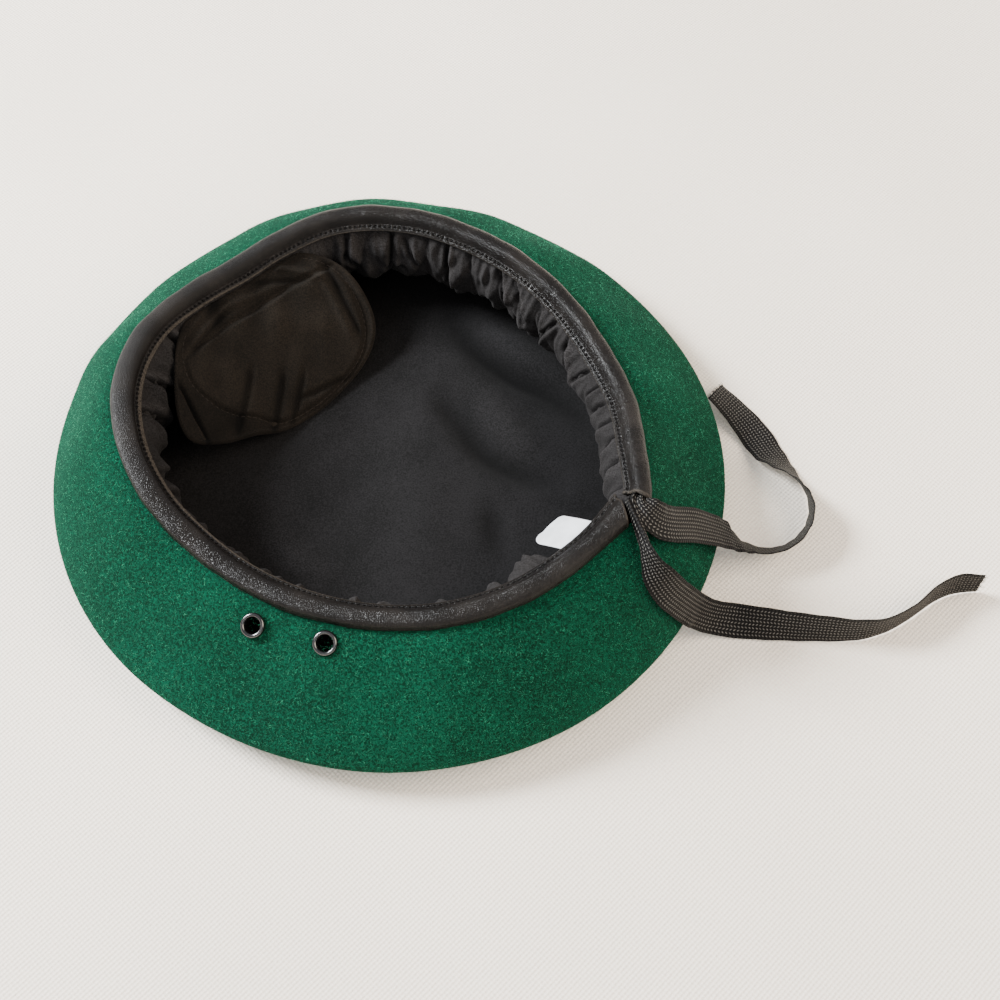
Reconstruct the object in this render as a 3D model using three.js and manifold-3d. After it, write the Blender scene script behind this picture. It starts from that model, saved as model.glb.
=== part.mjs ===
// A military beret lying on its crown with the opening upwards: a felt shell, a leather binding round the
// opening, a cotton lining with a gathered side, a badge pad, a size label, two vent eyelets and the two
// tails of the drawstring. Millimetres, +Z up. The origin is on the surface that the crown rests on, under
// the middle of the rim. Angles are in degrees, anticlockwise from +X as seen from above.

import * as THREE from 'three';
import { mergeVertices } from 'three/addons/utils/BufferGeometryUtils.js';
import Module from 'manifold-3d';

// Gap kept between pieces that touch on the real beret.
const GAP = 0.35;

// Felt shell.
const CROWN_RADIUS = 136; // mean radius of the rim
const FELT = 2.5; // thickness of the felt
const CROWN_ROLL = 25; // how far in from the rim the crown starts to lift
const RIM_HEIGHT = 13; // height of the widest point
const FLANGE_SWELL = 4; // how far the flange bulges up before it turns in
const FLANGE_LEAD = 12; // how far out from the binding the flange is straight
const BAND_RADIUS = 98; // mean radius of the line where felt meets leather
const BAND_HEIGHT = 46.5; // mean height of that line
const BAND_SLOPE = 15; // rise of the felt, towards the opening, at that line
const HEM = 6.5; // felt that runs on inside the binding

// Leather binding.
const LEATHER = 1.2;
const BINDING_WIDTH = 8.8; // felt line to stitch line
const BINDING_RISE = 3.9; // top of the roll above its two edges
const LIP_WIDTH = 2.8; // leather past the stitch line
const LIP_SLOPE = 33; // fall of the lip towards the opening
const SPLIT_ANGLE = 333; // where the two ends of the binding meet
const SPLIT_GAP = 0.8; // between the ends at the lip
const SPLIT_MOUTH = 12; // between the ends at the felt, where the drawstring comes out

// Cotton lining.
const LINING = 0.9;
const LINING_BULGE = 10; // how far the gathered side hangs in from its seam
const LINING_DROP = 0.42; // share of its height at which it bulges most
const LINING_FLOOR = 4; // height of its underside over the crown lining, near the turn
const GATHER_DEPTH = 3.2; // mean depth of a gather

// Badge pad: a stiffener in a cotton pocket, hanging from the binding on to the crown lining.
const PAD_WIDTH = 102;
const PAD_HEIGHT = 61;
const PAD_WIDEST = 28; // distance of its widest place from its top
const PAD_SQUARENESS = 2.4; // 2 is an ellipse
const PAD_THICKNESS = 3.6;
const PAD_EDGE = 1.2; // thickness at its sewn edge
const PAD_ANGLE = 134;
const PAD_HEADING = 304; // direction, seen from above, in which it leans into the opening

// Size label.
const LABEL_WIDTH = 15.5;
const LABEL_LENGTH = 19;
const LABEL_THICKNESS = 0.6;
const LABEL_CORNER = 3;
const LABEL_ANGLE = 320.4;

// Vent eyelets.
const EYELET_HOLE = 2.6; // radius of the hole
const EYELET_RIM = 4.4; // radius of the rim
const EYELET_WALL = 0.5;
const EYELET_CROWN = 1.1; // how far its rolled rim stands off the felt
const EYELET_WASHER = 0.7;
const EYELET_GAP = 0.7; // to the felt, above and below
const EYELETS = [
  { name: 'vent_eyelet_left', angle: 243.9, up: 0.81 },
  { name: 'vent_eyelet_right', angle: 259.8, up: 0.85 },
];

// Drawstring: a flat woven tape.
const TAPE_WIDTH = 14;
const TAPE_THICKNESS = 1;
const TAPE_SIDES = 0.6; // share of the thickness left at the rounded edges

// Plan and height of the beret all round, as shares of CROWN_RADIUS, BAND_RADIUS and BAND_HEIGHT.
const OUTLINE = [
  { angle: 0, rim: 0.997, band: 1.002, height: 0.985 },
  { angle: 15, rim: 0.985, band: 0.959, height: 0.931 },
  { angle: 32, rim: 0.972, band: 0.944, height: 0.942 },
  { angle: 50, rim: 0.97, band: 0.955, height: 0.972 },
  { angle: 68, rim: 0.982, band: 0.982, height: 0.993 },
  { angle: 86, rim: 1.004, band: 1.024, height: 1.01 },
  { angle: 104, rim: 1.016, band: 1.044, height: 1.009 },
  { angle: 119, rim: 1.015, band: 1.022, height: 0.982 },
  { angle: 132, rim: 1.008, band: 1.006, height: 0.972 },
  { angle: 146, rim: 1.003, band: 1.026, height: 1.028 },
  { angle: 160, rim: 1, band: 1.057, height: 1.096 },
  { angle: 175, rim: 0.995, band: 1.061, height: 1.115 },
  { angle: 190, rim: 0.991, band: 1.038, height: 1.084 },
  { angle: 206, rim: 0.987, band: 0.998, height: 1.01 },
  { angle: 222, rim: 0.984, band: 0.955, height: 0.93 },
  { angle: 238, rim: 0.98, band: 0.942, height: 0.903 },
  { angle: 254, rim: 0.988, band: 0.949, height: 0.905 },
  { angle: 270, rim: 1.002, band: 0.976, height: 0.928 },
  { angle: 286, rim: 1.012, band: 1.02, height: 0.985 },
  { angle: 302, rim: 1.021, band: 1.055, height: 1.034 },
  { angle: 316, rim: 1.02, band: 1.08, height: 1.09 },
  { angle: 326, rim: 1.017, band: 1.112, height: 1.135 },
  { angle: 333, rim: 1.013, band: 1.141, height: 1.148 },
  { angle: 339, rim: 1.009, band: 1.098, height: 1.13 },
  { angle: 347, rim: 1.005, band: 1.046, height: 1.08 },
];

// Creases of the gathered lining. Each row is the puff from its crease to the next row's, as a share of
// GATHER_DEPTH, and how far down the side it runs.
const GATHERS = [
  { angle: 2, depth: 0.7, reach: 0.75 },
  { angle: 12, depth: 1.2, reach: 0.9 },
  { angle: 21, depth: 0.8, reach: 0.8 },
  { angle: 32, depth: 1.1, reach: 0.95 },
  { angle: 41, depth: 1.3, reach: 1 },
  { angle: 49, depth: 0.9, reach: 0.85 },
  { angle: 57, depth: 1.2, reach: 0.9 },
  { angle: 67, depth: 1.5, reach: 1 },
  { angle: 80, depth: 1.1, reach: 0.9 },
  { angle: 88, depth: 1.4, reach: 1 },
  { angle: 96, depth: 1.2, reach: 0.9 },
  { angle: 104, depth: 0.3, reach: 0.6 },
  { angle: 124, depth: 0.2, reach: 0.6 },
  { angle: 144, depth: 0.4, reach: 0.6 },
  { angle: 160, depth: 0.9, reach: 0.8 },
  { angle: 169, depth: 1.2, reach: 0.9 },
  { angle: 178, depth: 1, reach: 0.9 },
  { angle: 189, depth: 0.9, reach: 0.85 },
  { angle: 198, depth: 1.1, reach: 0.8 },
  { angle: 209, depth: 0.8, reach: 0.8 },
  { angle: 221, depth: 0.7, reach: 0.7 },
  { angle: 234, depth: 0.7, reach: 0.7 },
  { angle: 246, depth: 0.8, reach: 0.8 },
  { angle: 258, depth: 1, reach: 0.8 },
  { angle: 268, depth: 0.9, reach: 0.8 },
  { angle: 278, depth: 1.1, reach: 0.9 },
  { angle: 289, depth: 0.8, reach: 0.8 },
  { angle: 300, depth: 0.6, reach: 0.7 },
  { angle: 313, depth: 0.3, reach: 0.6 },
  { angle: 330, depth: 1, reach: 0.8 },
  { angle: 338, depth: 1.2, reach: 0.9 },
  { angle: 349, depth: 0.9, reach: 0.8 },
];

// Routes of the two tails, chosen by hand: the middle of the tape, its lean from flat (90 is on edge)
// and its width as a share of TAPE_WIDTH, narrow where it is bunched up in the binding.
const TAIL_ROUTES = {
  drawstring_tail_looped: [
    { x: 95.3, y: -51.5, z: 57.2, lean: 0, width: 0.34 },
    { x: 98.6, y: -54.8, z: 56.2, lean: 8, width: 0.5 },
    { x: 101.2, y: -56.4, z: 54.2, lean: 16, width: 0.7 },
    { x: 104.4, y: -56.8, z: 51.4, lean: 22, width: 0.88 },
    { x: 108.2, y: -55.6, z: 47.8, lean: 26, width: 1 },
    { x: 118.1, y: -49.6, z: 36.6, lean: 27, width: 1 },
    { x: 129.4, y: -44.2, z: 22.8, lean: 14, width: 1 },
    { x: 134.6, y: -42.6, z: 16.7, lean: 0, width: 1 },
    { x: 138.6, y: -42.3, z: 11.9, lean: -25, width: 1 },
    { x: 143.2, y: -42.5, z: 7.6, lean: -45, width: 1 },
    { x: 148.6, y: -43.3, z: 6.1, lean: -49, width: 1 },
    { x: 155, y: -42.8, z: 6.3, lean: -54, width: 1 },
    { x: 160.8, y: -40.2, z: 6.8, lean: -62, width: 1 },
    { x: 165.6, y: -35.2, z: 7.4, lean: -72, width: 1 },
    { x: 168.8, y: -28.6, z: 7.6, lean: -84, width: 1 },
    { x: 169.4, y: -21.6, z: 7.6, lean: -97, width: 1 },
    { x: 167.8, y: -15.4, z: 7.3, lean: -112, width: 1 },
    { x: 164.8, y: -9, z: 6.3, lean: -127, width: 1 },
    { x: 160.6, y: -2.4, z: 4.6, lean: -146, width: 1 },
    { x: 156.5, y: 5, z: 2.3, lean: -168, width: 1 },
    { x: 153.2, y: 12.8, z: 1.3, lean: -178, width: 1 },
    { x: 149.4, y: 19.6, z: 1.9, lean: -172, width: 1 },
    { x: 144.6, y: 25.6, z: 3.7, lean: -163, width: 1 },
    { x: 138.2, y: 30.8, z: 6.8, lean: -159, width: 1 },
  ],
  drawstring_tail_trailing: [
    { x: 91.6, y: -50.6, z: 56.8, lean: 84, width: 0.2 },
    { x: 92.6, y: -54.4, z: 56.4, lean: 82, width: 0.24 },
    { x: 94.3, y: -59.8, z: 55.4, lean: 80, width: 0.36 },
    { x: 96.4, y: -66, z: 53.6, lean: 78, width: 0.55 },
    { x: 98.4, y: -71.8, z: 51.2, lean: 73, width: 0.8 },
    { x: 102, y: -76.4, z: 46.4, lean: 62, width: 0.98 },
    { x: 107, y: -78.6, z: 37.9, lean: 63, width: 1 },
    { x: 111.7, y: -78.4, z: 30.4, lean: 70, width: 1 },
    { x: 116.4, y: -77, z: 22, lean: 73, width: 1 },
    { x: 120.4, y: -75, z: 14.4, lean: 66, width: 1 },
    { x: 126, y: -73.9, z: 8.6, lean: 53, width: 1 },
    { x: 134, y: -74, z: 5.9, lean: 45, width: 1 },
    { x: 144.6, y: -75.8, z: 6.6, lean: 55, width: 1 },
    { x: 156, y: -77.5, z: 7.2, lean: 66, width: 1 },
    { x: 168, y: -78.8, z: 7.5, lean: 74, width: 1 },
    { x: 180.4, y: -79.6, z: 7.6, lean: 83, width: 1 },
    { x: 191, y: -78, z: 7.6, lean: 91, width: 1 },
    { x: 202.4, y: -72.2, z: 7.6, lean: 92, width: 1 },
    { x: 213.6, y: -63.8, z: 7.6, lean: 87, width: 1 },
    { x: 222, y: -60.2, z: 7.6, lean: 86, width: 1 },
    { x: 231, y: -60, z: 7.6, lean: 92, width: 1 },
  ],
};

// How finely each kind of surface is cut.
const RING_STEPS = 60;
const CROWN_STEPS = 4; // of the rolled edge
const SEAM_STEPS = 2; // of those, the ones that the crown lining covers
const FLANGE_STEPS = 5;
const ROLL_STEPS = 6;
const SIDE_STEPS = 7;
const GATHER_STEPS = 3;
const PAD_STEPS = 32;
const EYELET_STEPS = 16;
const TAIL_STEPS = 56;

const wasm = await Module();
wasm.setup();

const rad = THREE.MathUtils.degToRad;
const flat = (x, y) => new THREE.Vector2(x, y);

/** Smooth value of a column at an angle, through the rows of a table that goes round the beret. */
function around(rows, column, angle) {
  const at = THREE.MathUtils.euclideanModulo(angle, 360);
  const count = rows.length;
  const row = (i) => {
    const turn = Math.floor(i / count);
    const entry = rows[i - turn * count];
    return { angle: entry.angle + turn * 360, value: entry[column] };
  };
  let i = -1;
  while (row(i + 1).angle <= at) i += 1;
  const [before, from, to, after] = [row(i - 1), row(i), row(i + 1), row(i + 2)];
  const span = to.angle - from.angle;
  const t = (at - from.angle) / span;
  const leave = (span * (to.value - before.value)) / (to.angle - before.angle);
  const arrive = (span * (after.value - from.value)) / (after.angle - from.angle);
  const [t2, t3] = [t * t, t * t * t];
  return (
    (2 * t3 - 3 * t2 + 1) * from.value +
    (t3 - 2 * t2 + t) * leave +
    (3 * t2 - 2 * t3) * to.value +
    (t3 - t2) * arrive
  );
}

/** Rim radius, and radius and height of the line where felt meets leather, at an angle. */
function outline(angle) {
  return {
    rim: CROWN_RADIUS * around(OUTLINE, 'rim', angle),
    band: BAND_RADIUS * around(OUTLINE, 'band', angle),
    height: BAND_HEIGHT * around(OUTLINE, 'height', angle),
  };
}

/** A flat path moved to its left by a distance. */
function beside(path, distance) {
  return path.map((point, i) => {
    const before = path[Math.max(i - 1, 0)];
    const after = path[Math.min(i + 1, path.length - 1)];
    const along = after.clone().sub(before).normalize();
    return flat(point.x - along.y * distance, point.y + along.x * distance);
  });
}

/** Cross-section of a sheet whose thickness lies to the left of a path. */
function sheetSection(path, thickness) {
  return [...path, ...beside(path, thickness).reverse()];
}

/** A point of a flat section, radius and height, stood up at an angle. */
function stand(point, angle) {
  const turn = rad(angle);
  return new THREE.Vector3(point.x * Math.cos(turn), point.x * Math.sin(turn), point.y);
}

/** Underside of the crown, from its middle and some steps up its rolled edge. */
function crownPath(angle, steps) {
  const { rim } = outline(angle);
  const roll = new THREE.EllipseCurve(rim - CROWN_ROLL, RIM_HEIGHT, CROWN_ROLL, RIM_HEIGHT, -Math.PI / 2, 0);
  return [flat(0, 0), ...roll.getPoints(CROWN_STEPS).slice(0, steps + 1)];
}

/** Outside of the flange, from the rim to the leather. */
function flangeCurve(angle) {
  const { rim, band, height } = outline(angle);
  const slope = rad(BAND_SLOPE);
  return new THREE.CubicBezierCurve(
    flat(rim, RIM_HEIGHT),
    flat(rim, RIM_HEIGHT + FLANGE_SWELL),
    flat(band + FLANGE_LEAD * Math.cos(slope), height - FLANGE_LEAD * Math.sin(slope)),
    flat(band, height),
  );
}

/** Outside of the felt, from the middle of the crown to the edge that the leather hides. */
function feltPath(angle) {
  const { band, height } = outline(angle);
  const slope = rad(BAND_SLOPE);
  const hem = flat(band - HEM * Math.cos(slope), height + HEM * Math.sin(slope));
  return [...crownPath(angle, CROWN_STEPS), ...flangeCurve(angle).getPoints(FLANGE_STEPS).slice(1), hem];
}

/** Outside of the leather, from the felt over the roll to the stitch line and the lip. */
function bindingPath(angle) {
  const { band, height } = outline(angle);
  const lift = GAP + 0.75 * LEATHER;
  const middle = band - BINDING_WIDTH / 2;
  const roll = new THREE.EllipseCurve(middle, height + lift, BINDING_WIDTH / 2, BINDING_RISE, 0, Math.PI);
  const slope = rad(LIP_SLOPE);
  const groove = roll.getPoint(1);
  const edge = flat(groove.x - LIP_WIDTH * Math.cos(slope), groove.y - LIP_WIDTH * Math.sin(slope));
  return [...roll.getPoints(ROLL_STEPS), edge];
}

/** Place behind the lip, a distance back along it from its edge and a distance off its back. */
function behindLip(angle, along, off) {
  const edge = bindingPath(angle).at(-1);
  const slope = rad(LIP_SLOPE);
  const back = LEATHER + off;
  return flat(
    edge.x + along * Math.cos(slope) + back * Math.sin(slope),
    edge.y + along * Math.sin(slope) - back * Math.cos(slope),
  );
}

/** Puff of the gathered lining at an angle, and the share of the side that it runs down. */
function gather(angle) {
  const at = THREE.MathUtils.euclideanModulo(angle - GATHERS[0].angle, 360) + GATHERS[0].angle;
  let i = 0;
  while (i + 1 < GATHERS.length && GATHERS[i + 1].angle <= at) i += 1;
  const row = GATHERS[i];
  const next = i + 1 < GATHERS.length ? GATHERS[i + 1].angle : GATHERS[0].angle + 360;
  const share = (at - row.angle) / (next - row.angle);
  return { puff: GATHER_DEPTH * row.depth * Math.sin(Math.PI * share), reach: row.reach };
}

/** Visible side of the gathered lining, from under the lip down, in, and out to the crown lining's edge. */
function gatherPath(angle) {
  const start = behindLip(angle, 0.9 * LIP_WIDTH, GAP);
  const layers = FELT + LINING + 2 * GAP;
  const end = beside(crownPath(angle, SEAM_STEPS), layers).at(-1);
  const fall = start.y - end.y;
  const side = new THREE.CubicBezierCurve(
    start,
    flat(start.x - LINING_BULGE, start.y - fall * LINING_DROP),
    flat(start.x, end.y - LINING_FLOOR / 2),
    end,
  );
  const { puff, reach } = gather(angle);
  const points = side.getPoints(SIDE_STEPS);
  const steps = points.length - 1;
  const swell = points.map((point, i) => {
    const share = i / steps;
    const opens = THREE.MathUtils.smoothstep(share, 0, 0.2);
    const closes = 1 - THREE.MathUtils.smoothstep(share, 0.3 * reach, 0.85 * reach);
    return -puff * opens * closes;
  });
  return points.map((point, i) => beside(points, swell[i])[i]);
}

/** Closed geometry over a grid of sections. Ring sections join up; others are capped at both ends. */
function loft(sections, { ring = true, cap = null } = {}) {
  const wide = sections[0].length;
  const positions = sections.flat().flatMap((point) => point.toArray());
  const index = [];
  const last = ring ? sections.length : sections.length - 1;
  for (let i = 0; i < last; i += 1) {
    const here = i * wide;
    const next = ((i + 1) % sections.length) * wide;
    for (let j = 0; j < wide; j += 1) {
      const k = (j + 1) % wide;
      index.push(here + j, next + j, next + k, here + j, next + k, here + k);
    }
  }
  if (cap) {
    const end = (sections.length - 1) * wide;
    for (const [a, b, c] of THREE.ShapeUtils.triangulateShape(cap, [])) {
      index.push(a, b, c, end + c, end + b, end + a);
    }
  }
  const geometry = new THREE.BufferGeometry();
  geometry.setAttribute('position', new THREE.Float32BufferAttribute(positions, 3));
  geometry.setIndex(index);
  return outward(geometry);
}

/** Merged geometry without empty triangles, its faces turned outwards. */
function outward(geometry) {
  geometry.deleteAttribute('normal');
  geometry.deleteAttribute('uv');
  const merged = mergeVertices(geometry, 1e-4);
  const index = Array.from(merged.index.array);
  const place = (i) => new THREE.Vector3().fromBufferAttribute(merged.attributes.position, i);
  const kept = [];
  let volume = 0;
  for (let i = 0; i < index.length; i += 3) {
    const [a, b, c] = index.slice(i, i + 3);
    if (a === b || b === c || c === a) continue;
    volume += place(a).dot(place(b).cross(place(c)));
    kept.push([a, b, c]);
  }
  merged.setIndex(kept.flatMap(([a, b, c]) => (volume > 0 ? [a, b, c] : [a, c, b])));
  merged.computeVertexNormals();
  return merged;
}

/** The solid of a closed geometry, for cutting. */
function solidOf(geometry) {
  const closed = outward(geometry.clone());
  return new wasm.Manifold(
    new wasm.Mesh({
      numProp: 3,
      vertProperties: new Float32Array(closed.attributes.position.array),
      triVerts: new Uint32Array(closed.index.array),
    }),
  );
}

/** The geometry of a cut solid. */
function geometryOf(solid) {
  const mesh = solid.getMesh();
  const geometry = new THREE.BufferGeometry();
  geometry.setAttribute('position', new THREE.BufferAttribute(new Float32Array(mesh.vertProperties), 3));
  geometry.setIndex(Array.from(mesh.triVerts));
  return outward(geometry);
}

/** Evenly spaced angles right round, and the one where the binding is split. */
function ringAngles() {
  const even = Array.from({ length: RING_STEPS }, (_, i) => (i * 360) / RING_STEPS);
  return [...even, SPLIT_ANGLE].sort((a, b) => a - b);
}

/** Place on the outside of the flange, and a turn from +Z to the felt's outward direction there. */
function onFlange(angle, up) {
  const step = 0.5;
  const place = stand(flangeCurve(angle).getPoint(up), angle);
  const across = stand(flangeCurve(angle + step).getPoint(up), angle + step).sub(place);
  const rise = stand(flangeCurve(angle).getPoint(up + step / 100), angle).sub(place);
  const out = across.cross(rise).normalize();
  return { place, turn: new THREE.Quaternion().setFromUnitVectors(new THREE.Vector3(0, 0, 1), out) };
}

function feltShell() {
  const shell = ringAngles().map((angle) =>
    sheetSection(feltPath(angle), FELT).map((point) => stand(point, angle)),
  );
  let solid = solidOf(loft(shell));
  for (const { angle, up } of EYELETS) {
    const { place, turn } = onFlange(angle, up);
    const bore = EYELET_HOLE + EYELET_WALL + GAP;
    const drill = new THREE.CylinderGeometry(bore, bore, 4 * FELT, EYELET_STEPS).rotateX(Math.PI / 2);
    drill.applyQuaternion(turn).translate(place.x, place.y, place.z);
    solid = solid.subtract(solidOf(drill));
  }
  return geometryOf(solid);
}

function crownLining() {
  const sections = ringAngles().map((angle) => {
    const under = beside(crownPath(angle, SEAM_STEPS), FELT + GAP);
    return sheetSection(under, LINING).map((point) => stand(point, angle));
  });
  return loft(sections);
}

function gatheredLining() {
  const angles = GATHERS.flatMap((row, i) => {
    const next = i + 1 < GATHERS.length ? GATHERS[i + 1].angle : GATHERS[0].angle + 360;
    const step = (next - row.angle) / GATHER_STEPS;
    return Array.from({ length: GATHER_STEPS }, (_, k) => row.angle + k * step);
  });
  const sections = angles.map((angle) =>
    sheetSection(gatherPath(angle), LINING).map((point) => stand(point, angle)),
  );
  return loft(sections);
}

/** The binding runs right round from one side of the split to the other, whose end is cut to a slant. */
function leatherBinding() {
  const { band } = outline(SPLIT_ANGLE);
  const gap = THREE.MathUtils.radToDeg(SPLIT_GAP / band) / 2;
  const mouth = THREE.MathUtils.radToDeg(SPLIT_MOUTH / band);
  const reach = BINDING_WIDTH + LIP_WIDTH;
  const from = SPLIT_ANGLE - 360 + gap;
  const last = SPLIT_ANGLE - gap - mouth;
  const between = [...ringAngles().map((angle) => angle - 360), ...ringAngles()].filter(
    (angle) => angle > from && angle < last,
  );
  const flats = [from, ...between, last].map((angle) => sheetSection(bindingPath(angle), LEATHER));
  const sections = flats.map((section, i) => {
    const angle = [from, ...between, last][i];
    const slant = (point) => (angle === last ? (mouth * (outline(angle).band - point.x)) / reach : 0);
    return section.map((point) => stand(point, angle + slant(point)));
  });
  return loft(sections, { ring: false, cap: flats[0] });
}

/** Closed lens of cloth over the stiffener, sewn along the binding and leaning on the crown lining. */
function badgePad() {
  const seam = (along) => {
    const angle = PAD_ANGLE - THREE.MathUtils.radToDeg(along / outline(PAD_ANGLE).band);
    return stand(behindLip(angle, -PAD_EDGE / 2, GAP + PAD_EDGE / 2), angle);
  };
  const floor = FELT + LINING + 2 * GAP + PAD_EDGE / 2;
  const lean = Math.asin((seam(0).z - floor) / PAD_HEIGHT);
  const heading = rad(PAD_HEADING);
  const down = new THREE.Vector3(
    Math.cos(heading) * Math.cos(lean),
    Math.sin(heading) * Math.cos(lean),
    -Math.sin(lean),
  );
  const rings = [0, 0.45, 0.8, 0.95, 1];
  const place = (turn, ring, side) => {
    const [c, s] = [Math.cos(turn), Math.sin(turn)];
    const wide = Math.abs(c) / (PAD_WIDTH / 2);
    const deep = Math.abs(s) / (PAD_HEIGHT - PAD_WIDEST);
    const oval = (wide ** PAD_SQUARENESS + deep ** PAD_SQUARENESS) ** (-1 / PAD_SQUARENESS);
    const top = s < 0 ? PAD_WIDEST / -s : Infinity;
    const out = ring * Math.min(oval, top);
    const base = seam(out * c);
    const across = seam(out * c + 1).sub(base).normalize();
    const facing = across.cross(down).normalize();
    const thick = PAD_EDGE + (PAD_THICKNESS - PAD_EDGE) * (1 - ring ** 3);
    return base.addScaledVector(down, PAD_WIDEST + out * s).addScaledVector(facing, (side * thick) / 2);
  };
  const turns = Array.from({ length: PAD_STEPS }, (_, i) => (i * 2 * Math.PI) / PAD_STEPS);
  const sections = turns.map((turn) => [
    ...rings.map((ring) => place(turn, ring, 1)),
    ...rings.toReversed().map((ring) => place(turn, ring, -1)),
  ]);
  return loft(sections);
}

function sizeLabel() {
  const [half, long, corner] = [LABEL_WIDTH / 2, LABEL_LENGTH, LABEL_CORNER];
  const tag = new THREE.Shape();
  tag.moveTo(0, half);
  tag.lineTo(0, -half);
  tag.lineTo(long - corner, -half);
  tag.absarc(long - corner, corner - half, corner, -Math.PI / 2, 0);
  tag.absarc(long - corner, half - corner, corner, 0, Math.PI / 2);
  tag.closePath();
  const cut = { depth: LABEL_THICKNESS, bevelEnabled: false, curveSegments: 4 };
  return outward(new THREE.ExtrudeGeometry(tag, cut));
}

/** One eyelet about +Z, its rolled rim above the felt's outside at z 0 and its washer under the felt. */
function ventEyelet() {
  const barrel = EYELET_HOLE + EYELET_WALL;
  const back = -FELT - EYELET_GAP;
  const round = (EYELET_RIM - EYELET_HOLE) / 2;
  const roll = new THREE.EllipseCurve(EYELET_HOLE + round, EYELET_GAP, round, EYELET_CROWN, Math.PI, 0, true);
  const profile = [
    flat(EYELET_HOLE, back - EYELET_WASHER),
    ...roll.getPoints(4),
    flat(barrel, EYELET_GAP),
    flat(barrel, back),
    flat(EYELET_RIM, back),
    flat(EYELET_RIM, back - EYELET_WASHER),
    flat(EYELET_HOLE, back - EYELET_WASHER),
  ];
  return outward(new THREE.LatheGeometry(profile, EYELET_STEPS).rotateX(Math.PI / 2));
}

/** Flat tape along its route, turned about its own line by the lean of each point. */
function drawstringTail(route) {
  const line = new THREE.CatmullRomCurve3(route.map(({ x, y, z }) => new THREE.Vector3(x, y, z)));
  const section = [
    flat(-0.5, -TAPE_SIDES / 2),
    flat(-0.4, -0.5),
    flat(0.4, -0.5),
    flat(0.5, -TAPE_SIDES / 2),
    flat(0.5, TAPE_SIDES / 2),
    flat(0.4, 0.5),
    flat(-0.4, 0.5),
    flat(-0.5, TAPE_SIDES / 2),
  ];
  const sections = Array.from({ length: TAIL_STEPS + 1 }, (_, i) => {
    const t = i / TAIL_STEPS;
    const at = t * (route.length - 1);
    const from = Math.min(Math.floor(at), route.length - 2);
    const ease = THREE.MathUtils.smoothstep(at - from, 0, 1);
    const lean = rad(THREE.MathUtils.lerp(route[from].lean, route[from + 1].lean, ease));
    const width = TAPE_WIDTH * THREE.MathUtils.lerp(route[from].width, route[from + 1].width, ease);
    const along = line.getTangent(t);
    const level = new THREE.Vector3(0, 0, 1).cross(along).normalize();
    const rise = along.clone().cross(level);
    const wide = level.clone().multiplyScalar(Math.cos(lean)).addScaledVector(rise, Math.sin(lean));
    const thin = along.clone().cross(wide);
    return section.map(({ x, y }) =>
      line.getPoint(t).addScaledVector(wide, x * width).addScaledVector(thin, y * TAPE_THICKNESS),
    );
  });
  return loft(sections, { ring: false, cap: section });
}

const MATERIALS = {
  felt: { color: 0x0f5a3c, roughness: 0.95, metalness: 0 },
  leather: { color: 0x2a2523, roughness: 0.45, metalness: 0 },
  cotton: { color: 0x1b1a19, roughness: 0.85, metalness: 0 },
  label: { color: 0xe9edf0, roughness: 0.6, metalness: 0 },
  eyelet: { color: 0x17181a, roughness: 0.2, metalness: 0.9 },
  tape: { color: 0x262320, roughness: 0.6, metalness: 0 },
};

const beret = new THREE.Group();

function add(name, geometry, material) {
  const mesh = new THREE.Mesh(geometry, new THREE.MeshStandardMaterial(MATERIALS[material]));
  mesh.name = name;
  beret.add(mesh);
  return mesh;
}

add('felt_shell', feltShell(), 'felt');
add('crown_lining', crownLining(), 'cotton');
add('gathered_lining', gatheredLining(), 'cotton');
add('leather_binding', leatherBinding(), 'leather');
add('badge_pad', badgePad(), 'cotton');

const label = add('size_label', sizeLabel(), 'label');
label.position.copy(stand(behindLip(LABEL_ANGLE, -LABEL_THICKNESS, GAP + LABEL_THICKNESS), LABEL_ANGLE));
label.rotation.set(0, rad(LIP_SLOPE), rad(LABEL_ANGLE + 180), 'ZYX');

for (const { name, angle, up } of EYELETS) {
  const { place, turn } = onFlange(angle, up);
  const eyelet = add(name, ventEyelet(), 'eyelet');
  eyelet.position.copy(place);
  eyelet.quaternion.copy(turn);
}

for (const [name, route] of Object.entries(TAIL_ROUTES)) add(name, drawstringTail(route), 'tape');

export default beret;
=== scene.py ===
"""A military beret lying upside down on a table: its felt, leather, linings and drawstring.

Lengths in the classes are in millimetres, and MM turns them into the scene's metres. The frame is
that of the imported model: the origin is on the table under the middle of the rim, +Z is up, and +Y
points away from the camera. Angles are in degrees, anticlockwise from +X as seen from above.
"""

import logging
import math
from dataclasses import dataclass
from enum import Enum
from typing import Any

import bmesh
import bpy
import numpy as np
from mathutils import Matrix, Vector


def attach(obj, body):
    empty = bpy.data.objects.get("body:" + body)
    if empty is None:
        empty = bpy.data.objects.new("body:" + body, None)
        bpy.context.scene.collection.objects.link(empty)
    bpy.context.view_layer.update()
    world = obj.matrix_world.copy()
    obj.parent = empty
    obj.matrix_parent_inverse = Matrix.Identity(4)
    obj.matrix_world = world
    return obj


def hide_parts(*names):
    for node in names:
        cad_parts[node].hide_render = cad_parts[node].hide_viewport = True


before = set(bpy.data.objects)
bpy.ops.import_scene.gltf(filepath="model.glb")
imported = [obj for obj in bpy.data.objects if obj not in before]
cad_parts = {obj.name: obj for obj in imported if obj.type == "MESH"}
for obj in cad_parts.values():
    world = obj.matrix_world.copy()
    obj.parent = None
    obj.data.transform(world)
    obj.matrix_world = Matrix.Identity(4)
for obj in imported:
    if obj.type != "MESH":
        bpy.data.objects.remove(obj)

log = logging.getLogger("beret")
Array = np.ndarray
Pair = tuple[float, float]
Triple = tuple[float, float, float]
Dye = tuple[int, int, int]
Bells = tuple[Triple, ...]
MM = 0.001


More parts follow.
